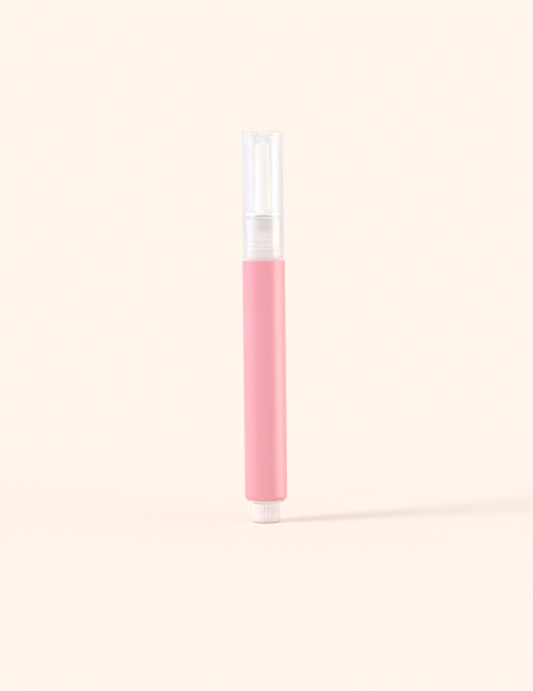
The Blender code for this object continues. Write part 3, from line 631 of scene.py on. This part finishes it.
class PEN_OT_barrel(bpy.types.Operator):
    """Make the satin barrel with its rounded tail, ledge and splines"""

    bl_idname = "pen.barrel"
    bl_label = "Barrel"

    def execute(self, context):
        sizes = context.scene.pen_sizes
        outer = sizes.barrel_radius
        bore = outer - sizes.barrel_wall
        tail_bore = bore - NUT_LEDGE
        top = top_of("barrel") + SEAM_RISE
        nut_shoulder = foot_of("guide_nut") + NUT_SKIRT
        steps = 14
        tail = [tail_point(sizes, TAIL_COVER * i / steps) for i in range(steps + 1)]
        tail_face = tail[-1][1]
        corners = [
            (outer, top, SEAM_EDGE),
            *tail,
            (tail_bore, tail_face, SOFT_EDGE),
            (tail_bore, nut_shoulder - FACE_GAP),
            (bore, nut_shoulder - FACE_GAP),
            (bore, top, SOFT_EDGE),
        ]
        satin = plastic(
            "Satin pink",
            context.scene.pen_colours.barrel,
            gloss=0.38,
            grain=0.16 * MM,
            depth=0.5 * MICRON,
            **{
                "Specular IOR Level": 1.0,
                "Sheen Weight": 0.5,
                "Sheen Roughness": 0.4,
                "Coat Weight": 0.5,
                "Coat Roughness": 0.25,
            },
        )
        barrel = turned("Barrel", corners, satin)
        foot = tail_face + FACE_GAP
        barrel = keyed(barrel, "UNION", tail_bore, foot, top_of("ratchet_ring") - foot)
        foot = nut_shoulder - 2 * FACE_GAP
        barrel = keyed(barrel, "UNION", bore, foot, NUT_WEB + 2 * FACE_GAP)
        stand_for(barrel, "barrel")
        return {"FINISHED"}


def natural_plastic(name, tint, gloss, scatter=1.0, painted_light_and_shade=(), through=None):
    """Milky natural plastic. scatter is the share of its light that spreads inside it."""
    return plastic(
        name,
        tint,
        gloss=gloss,
        grain=0.3 * MM,
        depth=0.8 * MICRON,
        painted_light_and_shade=painted_light_and_shade,
        through=through,
        **{
            "IOR": 1.49,
            "Subsurface Weight": scatter,
            "Subsurface Radius": (0.8, 1.0, 1.0),
            "Subsurface Scale": 1.7 * MM,
            "Specular IOR Level": 0.25,
        },
    )


class PEN_OT_tail_bush(bpy.types.Operator):
    """Make the pale bush that closes the barrel's tail"""

    bl_idname = "pen.tail_bush"
    bl_label = "Tail bush"

    def execute(self, context):
        sizes = context.scene.pen_sizes
        foot = top_of("twist_knob") + KNOB_SEAM
        top = top_of("tail_bush")
        tail_bore = sizes.barrel_radius - sizes.barrel_wall - NUT_LEDGE
        plug = tail_bore - PRESS_FIT
        seam = tail_point(sizes, TAIL_COVER)[1] - TAIL_SEAM
        start = TAIL_COVER + TAIL_SEAM / sizes.tail_round / cos(TAIL_COVER)
        steps = 12
        tail = [tail_point(sizes, start + (pi / 2 - start) * i / steps) for i in range(steps)]
        # The rounding is stretched down to the knob, past the gap that the solids have there
        stretch = (seam - foot) / (seam - foot_of("tail_bush"))
        tail = [(radius, seam - (seam - height) * stretch) for radius, height in tail]
        corners = [
            (plug, top, SOFT_EDGE),
            (plug, seam),
            *tail,
            (SLEEVE_HOLE, foot, SOFT_EDGE),
            (SLEEVE_HOLE, top, SOFT_EDGE),
        ]
        milky = natural_plastic("Bush natural", context.scene.pen_colours.inner, gloss=0.42)
        bush = turned("Tail_bush", corners, milky)
        keyway_foot = seam + FACE_GAP
        length = top - keyway_foot + FACE_GAP
        bush = keyed(bush, "DIFFERENCE", tail_bore, keyway_foot, length, PRESS_FIT)
        stand_for(bush, "tail_bush")
        return {"FINISHED"}


class PEN_OT_knob(bpy.types.Operator):
    """Make the ribbed knob that the pen stands on"""

    bl_idname = "pen.knob"
    bl_label = "Knob"

    def execute(self, context):
        sizes = context.scene.pen_sizes
        radius = radius_of("twist_knob")
        top = top_of("twist_knob")
        rim_round = 0.05 * MM
        foot_round = 1.0 * MM
        floor = 1.4 * MM
        well = 2.5 * MM
        socket_floor = foot_of("drive_sleeve") - FACE_GAP
        side_top = top - 0.4 * MM
        side_foot = 1.5 * MM
        rows = 24
        side = [(radius, side_top - (side_top - side_foot) * i / rows) for i in range(rows)]
        corners = [
            (0, floor),
            (well, floor, SOFT_EDGE),
            (well, socket_floor, SOFT_EDGE),
            (SLEEVE_HOLE, socket_floor, SOFT_EDGE),
            (SLEEVE_HOLE, top, SOFT_EDGE),
            (radius, top, rim_round),
            *side,
            (radius, 0, foot_round),
            (0, 0),
        ]
        colours = context.scene.pen_colours
        painted_light_and_shade = (
            # Painted shade: darker at the foot, where the knob faces the floor
            (colours.knob_foot_shade, floor + 0.5 * MM, floor - 0.2 * MM),
            # Painted light: paler near the top, where the barrel's tail shades the knob
            (colours.knob_top_painted_light, top - 1.5 * MM, top - 0.3 * MM),
        )
        milky = natural_plastic("Knob natural", colours.knob, gloss=0.42, painted_light_and_shade=painted_light_and_shade)
        knob = turned("Twist_knob", corners, milky, sides=sizes.ribs * 16)
        values = {
            "Grooves": sizes.ribs,
            "Depth": sizes.groove_depth,
            "Width": 0.69 * MM,
            "Radius": radius,
            "Foot": 1.3 * MM,
            "Run-out": 0.35 * MM,
        }
        nodes, wires = new_rule("Grip grooves", values)
        grooves = {0: wires["Geometry"], "Offset": self.inwards(nodes, wires)}
        end_rule(nodes, nodes.add("GeometryNodeSetPosition", grooves), milky)
        stand_for(apply_rule(knob, nodes, values), "twist_knob")
        return {"FINISHED"}

    def inwards(self, nodes, wires):
        """How far the side moves towards the axis: most in a groove, not at all between."""
        place = nodes.add("GeometryNodeInputPosition")
        x, y, z = nodes.parts(place)
        turns = nodes.maths("ARCTAN2", y, x) / TURN * wires["Grooves"]
        offset = nodes.maths("ABSOLUTE", nodes.maths("FRACT", turns) - 0.5)
        arc_width = offset * TURN * wires["Radius"] / wires["Grooves"]
        groove = nodes.step(arc_width, wires["Width"] / 2, 0.0)
        rise = nodes.step(z, wires["Foot"], wires["Foot"] + wires["Run-out"])
        reach = nodes.length(nodes.vector(x, y))
        skin = nodes.step(reach, wires["Radius"] - 4 * wires["Depth"], wires["Radius"])
        cut = groove * rise * skin * wires["Depth"] / reach
        return nodes.vector(-(x * cut), -(y * cut))


class PEN_OT_neck(bpy.types.Operator):
    """Make the neck with its flange, collar, beads and deck"""

    bl_idname = "pen.neck"
    bl_label = "Neck"

    def execute(self, context):
        sizes = context.scene.pen_sizes
        seat = top_of("barrel") + SEAM_RISE + FLANGE_SEAM
        flange_top = top_of("barrel") + 0.8 * MM
        collar_top = flange_top + 1.9 * MM
        first_bead = collar_top + 1.5 * MM
        bead_pitch = 1.6 * MM
        bead_reach = 0.4 * MM
        bead_flat = 0.1 * MM
        bead_foot_round = 0.1 * MM
        deck = top_of("nozzle_neck")
        deck_foot = deck - 1.2 * MM
        deck_round = 0.35 * MM
        boss_foot = deck - 2.6 * MM
        plug_foot = foot_of("nozzle_neck")
        plug_round = 0.45 * MM
        plug = sizes.barrel_radius - sizes.barrel_wall - PRESS_FIT
        neck = plug + 0.05 * MM
        crest = neck + 0.2 * MM
        chamber = neck - 1.35 * MM
        hole = 2.25 * MM
        boss = hole + 1.1 * MM
        corners = [(neck, deck, deck_round)]
        for number in reversed(range(sizes.beads)):
            level = first_bead + number * bead_pitch
            corners += [
                (neck, level + bead_reach, bead_foot_round),
                (crest, level + bead_flat, EDGE),
                (crest, level - bead_flat, EDGE),
                (neck, level - bead_reach, bead_foot_round),
            ]
        corners += [
            (neck, collar_top, SOFT_EDGE),
            (crest, collar_top, EDGE),
            (crest, flange_top, SOFT_EDGE),
            (sizes.barrel_radius, flange_top, EDGE),
            (sizes.barrel_radius, seat, SEAM_EDGE),
            (plug, seat),
            (plug, plug_foot, plug_round),
            (chamber, plug_foot, SOFT_EDGE),
            (chamber, deck_foot, FILLET),
            (boss, deck_foot, FILLET),
            (boss, boss_foot, SOFT_EDGE),
            (hole, boss_foot, SOFT_EDGE),
            (hole, deck, SOFT_EDGE),
        ]
        colours = context.scene.pen_colours
        # Painted light: the flange and the collar's foot take on the barrel's pink glow, stronger
        # towards the barrel
        painted_pink_glow = (colours.painted_pink_glow, collar_top + 0.6 * MM, seat)
        through = (0.32, 0.65, boss + 0.2 * MM)
        milky = natural_plastic(
            "Neck natural", colours.natural, gloss=0.36, painted_light_and_shade=(painted_pink_glow,), through=through
        )
        stand_for(turned("Neck", corners, milky), "nozzle_neck")
        return {"FINISHED"}


class PEN_OT_brush_holder(bpy.types.Operator):
    """Make the brush seat, the ferrule and the feed tube"""

    bl_idname = "pen.brush_holder"
    bl_label = "Brush holder"

    def execute(self, context):
        colours = context.scene.pen_colours
        tube_hole = radius_of("feed_tube") + PRESS_FIT
        self.seat(colours, tube_hole)
        self.ferrule(colours, tube_hole)
        self.tube(colours)
        return {"FINISHED"}

    def seat(self, colours, tube_hole):
        """The nose, flange and stem. The stem ends higher than the solid's, on a taller barb."""
        seat = top_of("nozzle_neck") + FACE_GAP
        socket = radius_of("brush_ferrule") + PRESS_FIT
        nose = socket + 0.35 * MM
        flange = radius_of("brush_seat")
        stem = 2.15 * MM
        barb = 0.5 * MM
        stem_foot = foot_of("brush_seat") + 0.7 * MM
        barb_foot = stem_foot + 0.6 * MM
        barb_top = barb_foot + 0.7 * MM
        nose_foot = seat + 1.2 * MM
        nose_top = top_of("brush_seat")
        socket_foot = foot_of("brush_ferrule") - FACE_GAP
        corners = [
            (nose, nose_top, EDGE),
            (nose, nose_foot, FILLET),
            (flange, nose_foot, EDGE),
            (flange, seat, SOFT_EDGE),
            (stem, seat),
            (stem, barb_top),
            (stem + barb, barb_top, SOFT_EDGE),
            (stem + barb, barb_foot, SOFT_EDGE),
            (stem - barb, stem_foot, SOFT_EDGE),
            (tube_hole, stem_foot),
            (tube_hole, socket_foot),
            (socket, socket_foot),
            (socket, nose_top, SOFT_EDGE),
        ]
        # Painted shade: the holder is darker below its flange, for the dim inside of the neck
        stem_painted_shade = (colours.stem, seat + 0.1 * MM, seat)
        finish = natural_plastic(
            "Holder natural", colours.inner, gloss=0.28, scatter=0.0, painted_light_and_shade=(stem_painted_shade,)
        )
        stand_for(turned("Brush_seat", corners, finish), "brush_seat")

    def ferrule(self, colours, tube_hole):
        """The tube that grips the tuft's slice on an inner step."""
        radius = radius_of("brush_ferrule")
        bore = radius - 0.3 * MM
        top = top_of("brush_ferrule")
        foot = foot_of("brush_ferrule")
        step = foot_of("brush_bristles") - FACE_GAP
        lip_round = 0.14 * MM
        mouth_round = 0.1 * MM
        corners = [
            (radius, top, lip_round),
            (radius, foot, SOFT_EDGE),
            (tube_hole, foot),
            (tube_hole, step),
            (bore, step),
            (bore, top, mouth_round),
        ]
        finish = natural_plastic("Ferrule natural", colours.natural, gloss=0.24, scatter=0.0)
        stand_for(turned("Ferrule", corners, finish, SLIM_SIDES), "brush_ferrule")

    def tube(self, colours):
        """The clear tube that feeds the tuft."""
        radius = radius_of("feed_tube")
        bore = 0.3 * MM
        top = top_of("feed_tube")
        foot = foot_of("feed_tube")
        edge = 0.05 * MM
        corners = [
            (radius, top, edge),
            (radius, foot, edge),
            (bore, foot, edge),
            (bore, top, edge),
        ]
        finish = hazy_plastic("Tube clear", colours, gloss=0.12, haze=0.1)
        stand_for(turned("Feed_tube", corners, finish, TUBE_SIDES), "feed_tube")


class PEN_OT_tuft(bpy.types.Operator):
    """Make the tuft: fine strands that taper, gather and end in a dome"""

    bl_idname = "pen.tuft"
    bl_label = "Tuft"

    def execute(self, context):
        sizes = context.scene.pen_sizes
        foot = foot_of("brush_bristles")
        top = top_of("brush_bristles")
        outer = radius_of("brush_ferrule") - 0.4 * MM
        inner = radius_of("feed_tube") + PRESS_FIT
        slice_top = foot + 1.2 * MM
        root_foot = foot + 0.6 * MM
        inset = 0.04 * MM
        cream = plastic(
            "Strand cream",
            context.scene.pen_colours.strand,
            gloss=0.42,
            grain=0.1 * MM,
            depth=0.4 * MICRON,
            mottle=0.06,
            **{"Sheen Weight": 0.6, "Sheen Roughness": 0.5},
        )
        slice_corners = [(outer, slice_top), (outer, foot), (inner, foot), (inner, slice_top)]
        tuft = turned("Tuft", slice_corners, cream, SLIM_SIDES)
        values = {
            "Strands": sizes.strands,
            "Inner radius": inner + inset,
            "Outer radius": outer - inset,
            "Strand radius": 0.038 * MM,
            "Foot": root_foot,
            "Length": top - root_foot,
            "Dome": 1.6 * MM,
            "Gather": 0.82,
            "Taper": 0.2,
            "Stray": 0.09 * MM,
            "Seed": 7,
        }
        nodes, wires = new_rule("Tuft", values)
        strands = self.strands(nodes, wires, self.bent(nodes, wires, self.lines(nodes, wires)))
        both = nodes.add("GeometryNodeJoinGeometry", {0: [wires["Geometry"], strands]})
        end_rule(nodes, both, cream)
        stand_for(apply_rule(tuft, nodes, values), "brush_bristles")
        return {"FINISHED"}

    def lines(self, nodes, wires):
        """An upright line of unit length for each strand, spread evenly over the slice."""
        number = nodes.add("GeometryNodeInputIndex")
        share = (number + 0.5) / wires["Strands"]
        inner_square = wires["Inner radius"] * wires["Inner radius"]
        outer_square = wires["Outer radius"] * wires["Outer radius"]
        square = inner_square + share * (outer_square - inner_square)
        root = nodes.maths("SQRT", square)
        golden_turn = pi * (3 - 5**0.5)
        angle = number * golden_turn
        spot = nodes.vector(root * nodes.maths("COSINE", angle), root * nodes.maths("SINE", angle))
        roots = nodes.add("GeometryNodePoints", {"Count": wires["Strands"], "Position": spot})
        line = nodes.add("GeometryNodeCurvePrimitiveLine", {"End": (0.0, 0.0, 1.0)})
        line = nodes.add("GeometryNodeResampleCurve", {0: line, "Count": 7})
        lines = nodes.add("GeometryNodeInstanceOnPoints", {0: roots, "Instance": line})
        return nodes.add("GeometryNodeRealizeInstances", {0: lines})

    def bent(self, nodes, wires, lines):
        """The lines at their length, gathered towards the dome and each a little astray."""
        stray_size = 0.08 * MM
        place = nodes.add("GeometryNodeInputPosition")
        x, y, rise = nodes.parts(place)
        level = nodes.vector(x, y)
        cloud = nodes.add(
            "ShaderNodeTexNoise",
            {"Vector": level, "W": wires["Seed"], "Scale": 1 / stray_size, "Detail": 0.0},
            output=1,
            noise_dimensions="4D",
        )
        stray_x, stray_y, stray_z = nodes.parts(cloud)
        squared = rise * rise
        gather = 1.0 - squared * (1.0 - wires["Gather"])
        reach = (x * x + y * y) / (wires["Outer radius"] * wires["Outer radius"])
        height = wires["Length"] - wires["Dome"] * reach - stray_z * wires["Stray"] * 2.0
        bent = nodes.vector(
            x * gather + (stray_x - 0.5) * squared * wires["Stray"],
            y * gather + (stray_y - 0.5) * squared * wires["Stray"],
            wires["Foot"] + rise * height,
        )
        return nodes.add("GeometryNodeSetPosition", {0: lines, "Position": bent})

    def strands(self, nodes, wires, lines):
        """The lines with their thickness, which tapers towards the tip."""
        share_up = nodes.add("GeometryNodeSplineParameter")
        width = wires["Strand radius"] * (1.0 - share_up * share_up * wires["Taper"])
        section = nodes.add("GeometryNodeCurvePrimitiveCircle", {"Resolution": 5, "Radius": 1.0})
        return nodes.add(
            "GeometryNodeCurveToMesh",
            {0: lines, "Profile Curve": section, "Scale": width, "Fill Caps": True},
        )


def ray_is(nodes, *kinds):
    """1 for a ray of one of these kinds, such as Camera or Glossy."""
    found = [nodes.add("ShaderNodeLightPath", output=f"Is {kind} Ray") for kind in kinds]
    share = found[0]
    for other in found[1:]:
        share = nodes.maths("MAXIMUM", share, other)
    return share


def carries_light(nodes):
    """1 for rays that bring light to what is inside clear plastic."""
    return ray_is(nodes, "Shadow", "Diffuse", "Transmission")


def clear_plastic(name, colours, gloss, veil, rim):
    """Clear plastic that hides a little of what is behind it, and more seen aslant.

    veil is the share that one face hides seen straight on, and rim what slant adds.
    """
    material, nodes = new_material(name)
    place = nodes.add("ShaderNodeTexCoord", output="Object")
    flow = nodes.noise(place, FLOW_SIZE)
    normal = nodes.add("ShaderNodeBump", {"Height": flow, "Distance": MICRON})
    aslant = nodes.aslant()
    lit = 1.0 - CLEAR_EASE * carries_light(nodes)
    hidden = lit * (veil + rim * nodes.maths("POWER", aslant, 0.7))
    pane = nodes.add("ShaderNodeBsdfTransparent", {"Color": rgba(colours.clear)})
    haze = nodes.add(
        "ShaderNodeBsdfPrincipled",
        {"Base Color": rgba(colours.haze), "Roughness": 0.5, "IOR": 1.49, "Normal": normal},
    )
    shine = nodes.add(
        "ShaderNodeBsdfPrincipled",
        {"Base Color": WHITE, "Metallic": 1.0, "Roughness": gloss, "Normal": normal},
    )
    body = nodes.add("ShaderNodeMixShader", {0: hidden, 1: pane, 2: haze})
    mirrored = lit * (0.04 + 0.5 * nodes.maths("POWER", aslant, 5.0))
    surface = nodes.add("ShaderNodeMixShader", {0: mirrored, 1: body, 2: shine})
    nodes.add("ShaderNodeOutputMaterial", {"Surface": surface})
    return material


def hazy_plastic(name, colours, gloss, haze):
    """Glassy plastic that bends light. haze is the share of it that is milky."""
    return plastic(
        name,
        colours.inner,
        gloss=gloss,
        grain=5.0 * MM,
        depth=0.3 * MICRON,
        mottle=0.0,
        scuff=0.02,
        **{
            "Transmission Weight": 1 - haze,
            "IOR": 1.25,
            "Coat Weight": 0.5,
            "Coat Roughness": 0.12,
        },
    )


class PEN_OT_inner_cap(bpy.types.Operator):
    """Make the hat-shaped inner cap"""

    bl_idname = "pen.inner_cap"
    bl_label = "Inner cap"

    def execute(self, context):
        foot = foot_of("inner_cap")
        top = top_of("inner_cap")
        brim = radius_of("inner_cap")
        wall = 0.45 * MM
        mouth = radius_of("brush_ferrule") + 1.1 * MM
        tip = mouth - 0.5 * MM
        brim_top = foot + 0.9 * MM
        brim_fillet = 0.25 * MM
        dome = 1.8 * MM
        shoulder = top - dome
        crown = [(r * tip, shoulder + z * dome) for r, z in arc((0, 0), 1, pi / 2, 0)[1:]]
        lining = [
            (r * (tip - wall), shoulder + z * (dome - wall))
            for r, z in arc((0, 0), 1, 0, pi / 2)[:-1]
        ]
        corners = [
            (0, top),
            *crown,
            (mouth, brim_top, brim_fillet),
            (brim, brim_top, EDGE),
            (brim, foot, EDGE),
            (mouth - wall, foot, SOFT_EDGE),
            *lining,
            (0, top - wall),
        ]
        haze = hazy_plastic("Inner cap haze", context.scene.pen_colours, gloss=0.08, haze=0.92)
        stand_for(turned("Inner_cap", corners, haze), "inner_cap")
        return {"FINISHED"}


class PEN_OT_cap(bpy.types.Operator):
    """Make the clear outer cap"""

    bl_idname = "pen.cap"
    bl_label = "Cap"

    def execute(self, context):
        sizes = context.scene.pen_sizes
        outer = sizes.cap_radius
        bore = outer - sizes.cap_wall
        foot = foot_of("cap_shell")
        top = top_of("cap_shell")
        ceiling = top - sizes.cap_roof
        top_round = 0.6 * MM
        ceiling_round = 0.5 * MM
        lead_in = 0.2 * MM
        corners = [
            (0, top),
            (outer, top, top_round),
            (outer, foot, EDGE),
            (bore + lead_in, foot, SOFT_EDGE),
            (bore, foot + lead_in),
            (bore, ceiling, ceiling_round),
            (0, ceiling),
        ]
        colours = context.scene.pen_colours
        clear = clear_plastic("Cap clear", colours, gloss=0.05, veil=0.06, rim=0.42)
        stand_for(turned("Cap", corners, clear), "cap_shell")
        return {"FINISHED"}


class PEN_OT_mechanism(bpy.types.Operator):
    """Give the pieces inside the barrel their moulded finish"""

    bl_idname = "pen.mechanism"
    bl_label = "Mechanism"

    def execute(self, context):
        colours = context.scene.pen_colours
        acetal = plastic("Acetal", colours.acetal, gloss=0.34, grain=0.2 * MM, depth=MICRON)
        white = plastic("Piston white", colours.piston, gloss=0.4, grain=0.25 * MM, depth=MICRON)
        finishes = {
            "lead_screw": acetal,
            "guide_nut": acetal,
            "drive_sleeve": acetal,
            "click_spring": acetal,
            "ratchet_ring": acetal,
            "piston": white,
        }
        for node, finish in finishes.items():
            solid = frame["nodes"][node]
            for slot in solid.material_slots:
                slot.material = finish
        return {"FINISHED"}


def sky_patch(nodes, bearing, rise, spot, size, edge):
    """1 in a soft-edged patch of the sky, whose spot, size and edge are in degrees."""
    across = nodes.maths("ABSOLUTE", bearing - radians(spot[0]))
    up = nodes.maths("ABSOLUTE", rise - radians(spot[1]))
    half = (radians(size[0] / 2), radians(size[1] / 2))
    soft = radians(edge) / 2
    across = nodes.step(across, half[0] + soft, half[0] - soft)
    return across * nodes.step(up, half[1] + soft, half[1] - soft)


class PEN_OT_stage(bpy.types.Operator):
    """Set the floor, the light and the camera"""

    bl_idname = "pen.stage"
    bl_label = "Stage"

    def floor(self, stage):
        """A round floor that keeps the pen's shadow and fades into the backdrop."""
        radius = 0.35
        fade_start = 0.14
        fade_end = 0.31
        below_pen = 10 * MICRON
        material, nodes = new_material("Floor")
        place = nodes.add("ShaderNodeTexCoord", output="Object")
        fade = nodes.step(nodes.length(place), fade_start, fade_end)
        lit = nodes.add("ShaderNodeBsdfDiffuse", {"Color": rgba(stage.backdrop)})
        flat = nodes.add("ShaderNodeEmission", {"Color": rgba(stage.backdrop)})
        factor = fade * ray_is(nodes, "Camera", "Glossy", "Transmission")
        mixed = nodes.add("ShaderNodeMixShader", {0: factor, 1: lit, 2: flat})
        nodes.add("ShaderNodeOutputMaterial", {"Surface": mixed})
        shape = bmesh.new()
        bmesh.ops.create_circle(shape, cap_ends=True, segments=128, radius=radius)
        mesh = bpy.data.meshes.new("Floor")
        shape.to_mesh(mesh)
        shape.free()
        for vertex in mesh.vertices:
            vertex.co.z = -below_pen
        mesh.materials.append(material)
        floor = bpy.data.objects.new("Floor", mesh)
        bpy.context.scene.collection.objects.link(floor)
        floor.visible_glossy = False

    def light(self, stage):
        """Soft boxes and a paler back half, as patches of the sky."""
        world = bpy.data.worlds.new("Studio")
        bpy.context.scene.world = world
        world.use_nodes = True
        world.node_tree.nodes.clear()
        nodes = Nodes(world.node_tree)
        direction = nodes.add("ShaderNodeTexCoord", output="Generated")
        x, y, z = nodes.parts(direction)
        bearing = nodes.maths("ARCTAN2", x, -y)
        rise = nodes.maths("ARCSINE", z)
        # y goes from -1 on the camera's side to 1 behind the pen
        front_sky = (0.70, 0.69, 0.69, 1.0)
        back_sky = (0.80, 0.78, 0.76, 1.0)
        ambient = nodes.blend(nodes.step(y, -0.9, 0.5), front_sky, back_sky)
        backdrop = rgba(stage.backdrop)
        below = nodes.step(rise, radians(-1), radians(0), 1.0, 0.0)
        ambient = nodes.blend(below, ambient, backdrop)
        mirrored = ray_is(nodes, "Glossy") * (1.0 - ray_is(nodes, "Transmission"))
        dull = 1.0 - mirrored
        # Of each soft box its middle, its size and its soft edge, all in degrees of bearing
        # and height, then its light, and which rays meet it
        boxes = (
            ((-68, 27), (22, 24), 8, (8.4, 8.4, 9.0), dull),
            ((-84, 8), (44, 22), 8, (1.0, 0.9, 1.3), dull),
            ((-88, 12), (50, 50), 8, (0.8, 0.75, 0.9), mirrored),
            ((82, 12), (48, 50), 24, (3.0, 2.9, 2.5), mirrored),
            ((66, 14), (60, 40), 8, (1.3, 1.25, 1.1), dull),
            ((0, 62), (120, 40), 8, (5.0, 5.0, 5.0), mirrored),
        )
        behind = nodes.step(y, -0.7, 0.1)
        shown = behind * ray_is(nodes, "Glossy", "Transmission")
        colour = nodes.blend(shown, ambient, backdrop)
        for spot, size, edge, tint, rays in boxes:
            patch = sky_patch(nodes, bearing, rise, spot, size, edge) * rays
            glow = nodes.add("ShaderNodeVectorMath", {0: tint, "Scale": patch}, operation="SCALE")
            colour = nodes.add("ShaderNodeVectorMath", {0: colour, 1: glow})
        colour = nodes.blend(ray_is(nodes, "Camera"), colour, backdrop)
        sky = nodes.add("ShaderNodeBackground", {"Color": colour})
        nodes.add("ShaderNodeOutputWorld", {"Surface": sky})

    def camera(self, stage):
        """The camera, turned to the pen as in the photograph."""
        lens = bpy.data.cameras.new("Camera")
        lens.lens = stage.lens
        lens.sensor_width = 36
        lens.clip_start = 0.05
        lens.clip_end = 20
        camera = bpy.data.objects.new("Camera", lens)
        bpy.context.scene.collection.objects.link(camera)
        camera.location = (stage.aside, -stage.distance, stage.height)
        view = Vector((stage.aside, 0, stage.aim)) - camera.location
        turned_to = view.to_track_quat("-Z", "Y").to_matrix().to_4x4()
        turned_to @= Matrix.Rotation(-stage.roll, 4, "Z")
        camera.rotation_euler = turned_to.to_euler()
        bpy.context.scene.camera = camera

    def execute(self, context):
        stage = context.scene.pen_stage
        self.floor(stage)
        self.light(stage)
        self.camera(stage)
        context.scene.view_settings.view_transform = "Standard"
        return {"FINISHED"}


PIECES = (
    PEN_OT_barrel,
    PEN_OT_tail_bush,
    PEN_OT_knob,
    PEN_OT_neck,
    PEN_OT_brush_holder,
    PEN_OT_tuft,
    PEN_OT_inner_cap,
    PEN_OT_cap,
    PEN_OT_mechanism,
    PEN_OT_stage,
)


class PEN_PT_pieces(bpy.types.Panel):
    """Lists the pen's sizes, its colours and the operators that make it"""

    bl_label = "Brush pen"
    bl_idname = "PEN_PT_pieces"
    bl_space_type = "VIEW_3D"
    bl_region_type = "UI"
    bl_category = "Brush pen"

    def draw(self, context):
        for settings in ("pen_sizes", "pen_colours", "pen_stage"):
            group = getattr(context.scene, settings)
            column = self.layout.box().column()
            for name in group.__annotations__:
                column.prop(group, name)
        for piece in PIECES:
            self.layout.operator(piece.bl_idname)


CLASSES = (PenSizes, PenColours, StageSettings, *PIECES, PEN_PT_pieces)


def register():
    for cls in CLASSES:
        bpy.utils.register_class(cls)
    bpy.types.Scene.pen_sizes = bpy.props.PointerProperty(type=PenSizes)
    bpy.types.Scene.pen_colours = bpy.props.PointerProperty(type=PenColours)
    bpy.types.Scene.pen_stage = bpy.props.PointerProperty(type=StageSettings)


def unregister():
    del bpy.types.Scene.pen_stage
    del bpy.types.Scene.pen_colours
    del bpy.types.Scene.pen_sizes
    for cls in reversed(CLASSES):
        bpy.utils.unregister_class(cls)


def main():
    register()
    for piece in PIECES:
        name = piece.bl_idname.split(".")[1]
        getattr(bpy.ops.pen, name)()


if __name__ == "__main__":
    main()
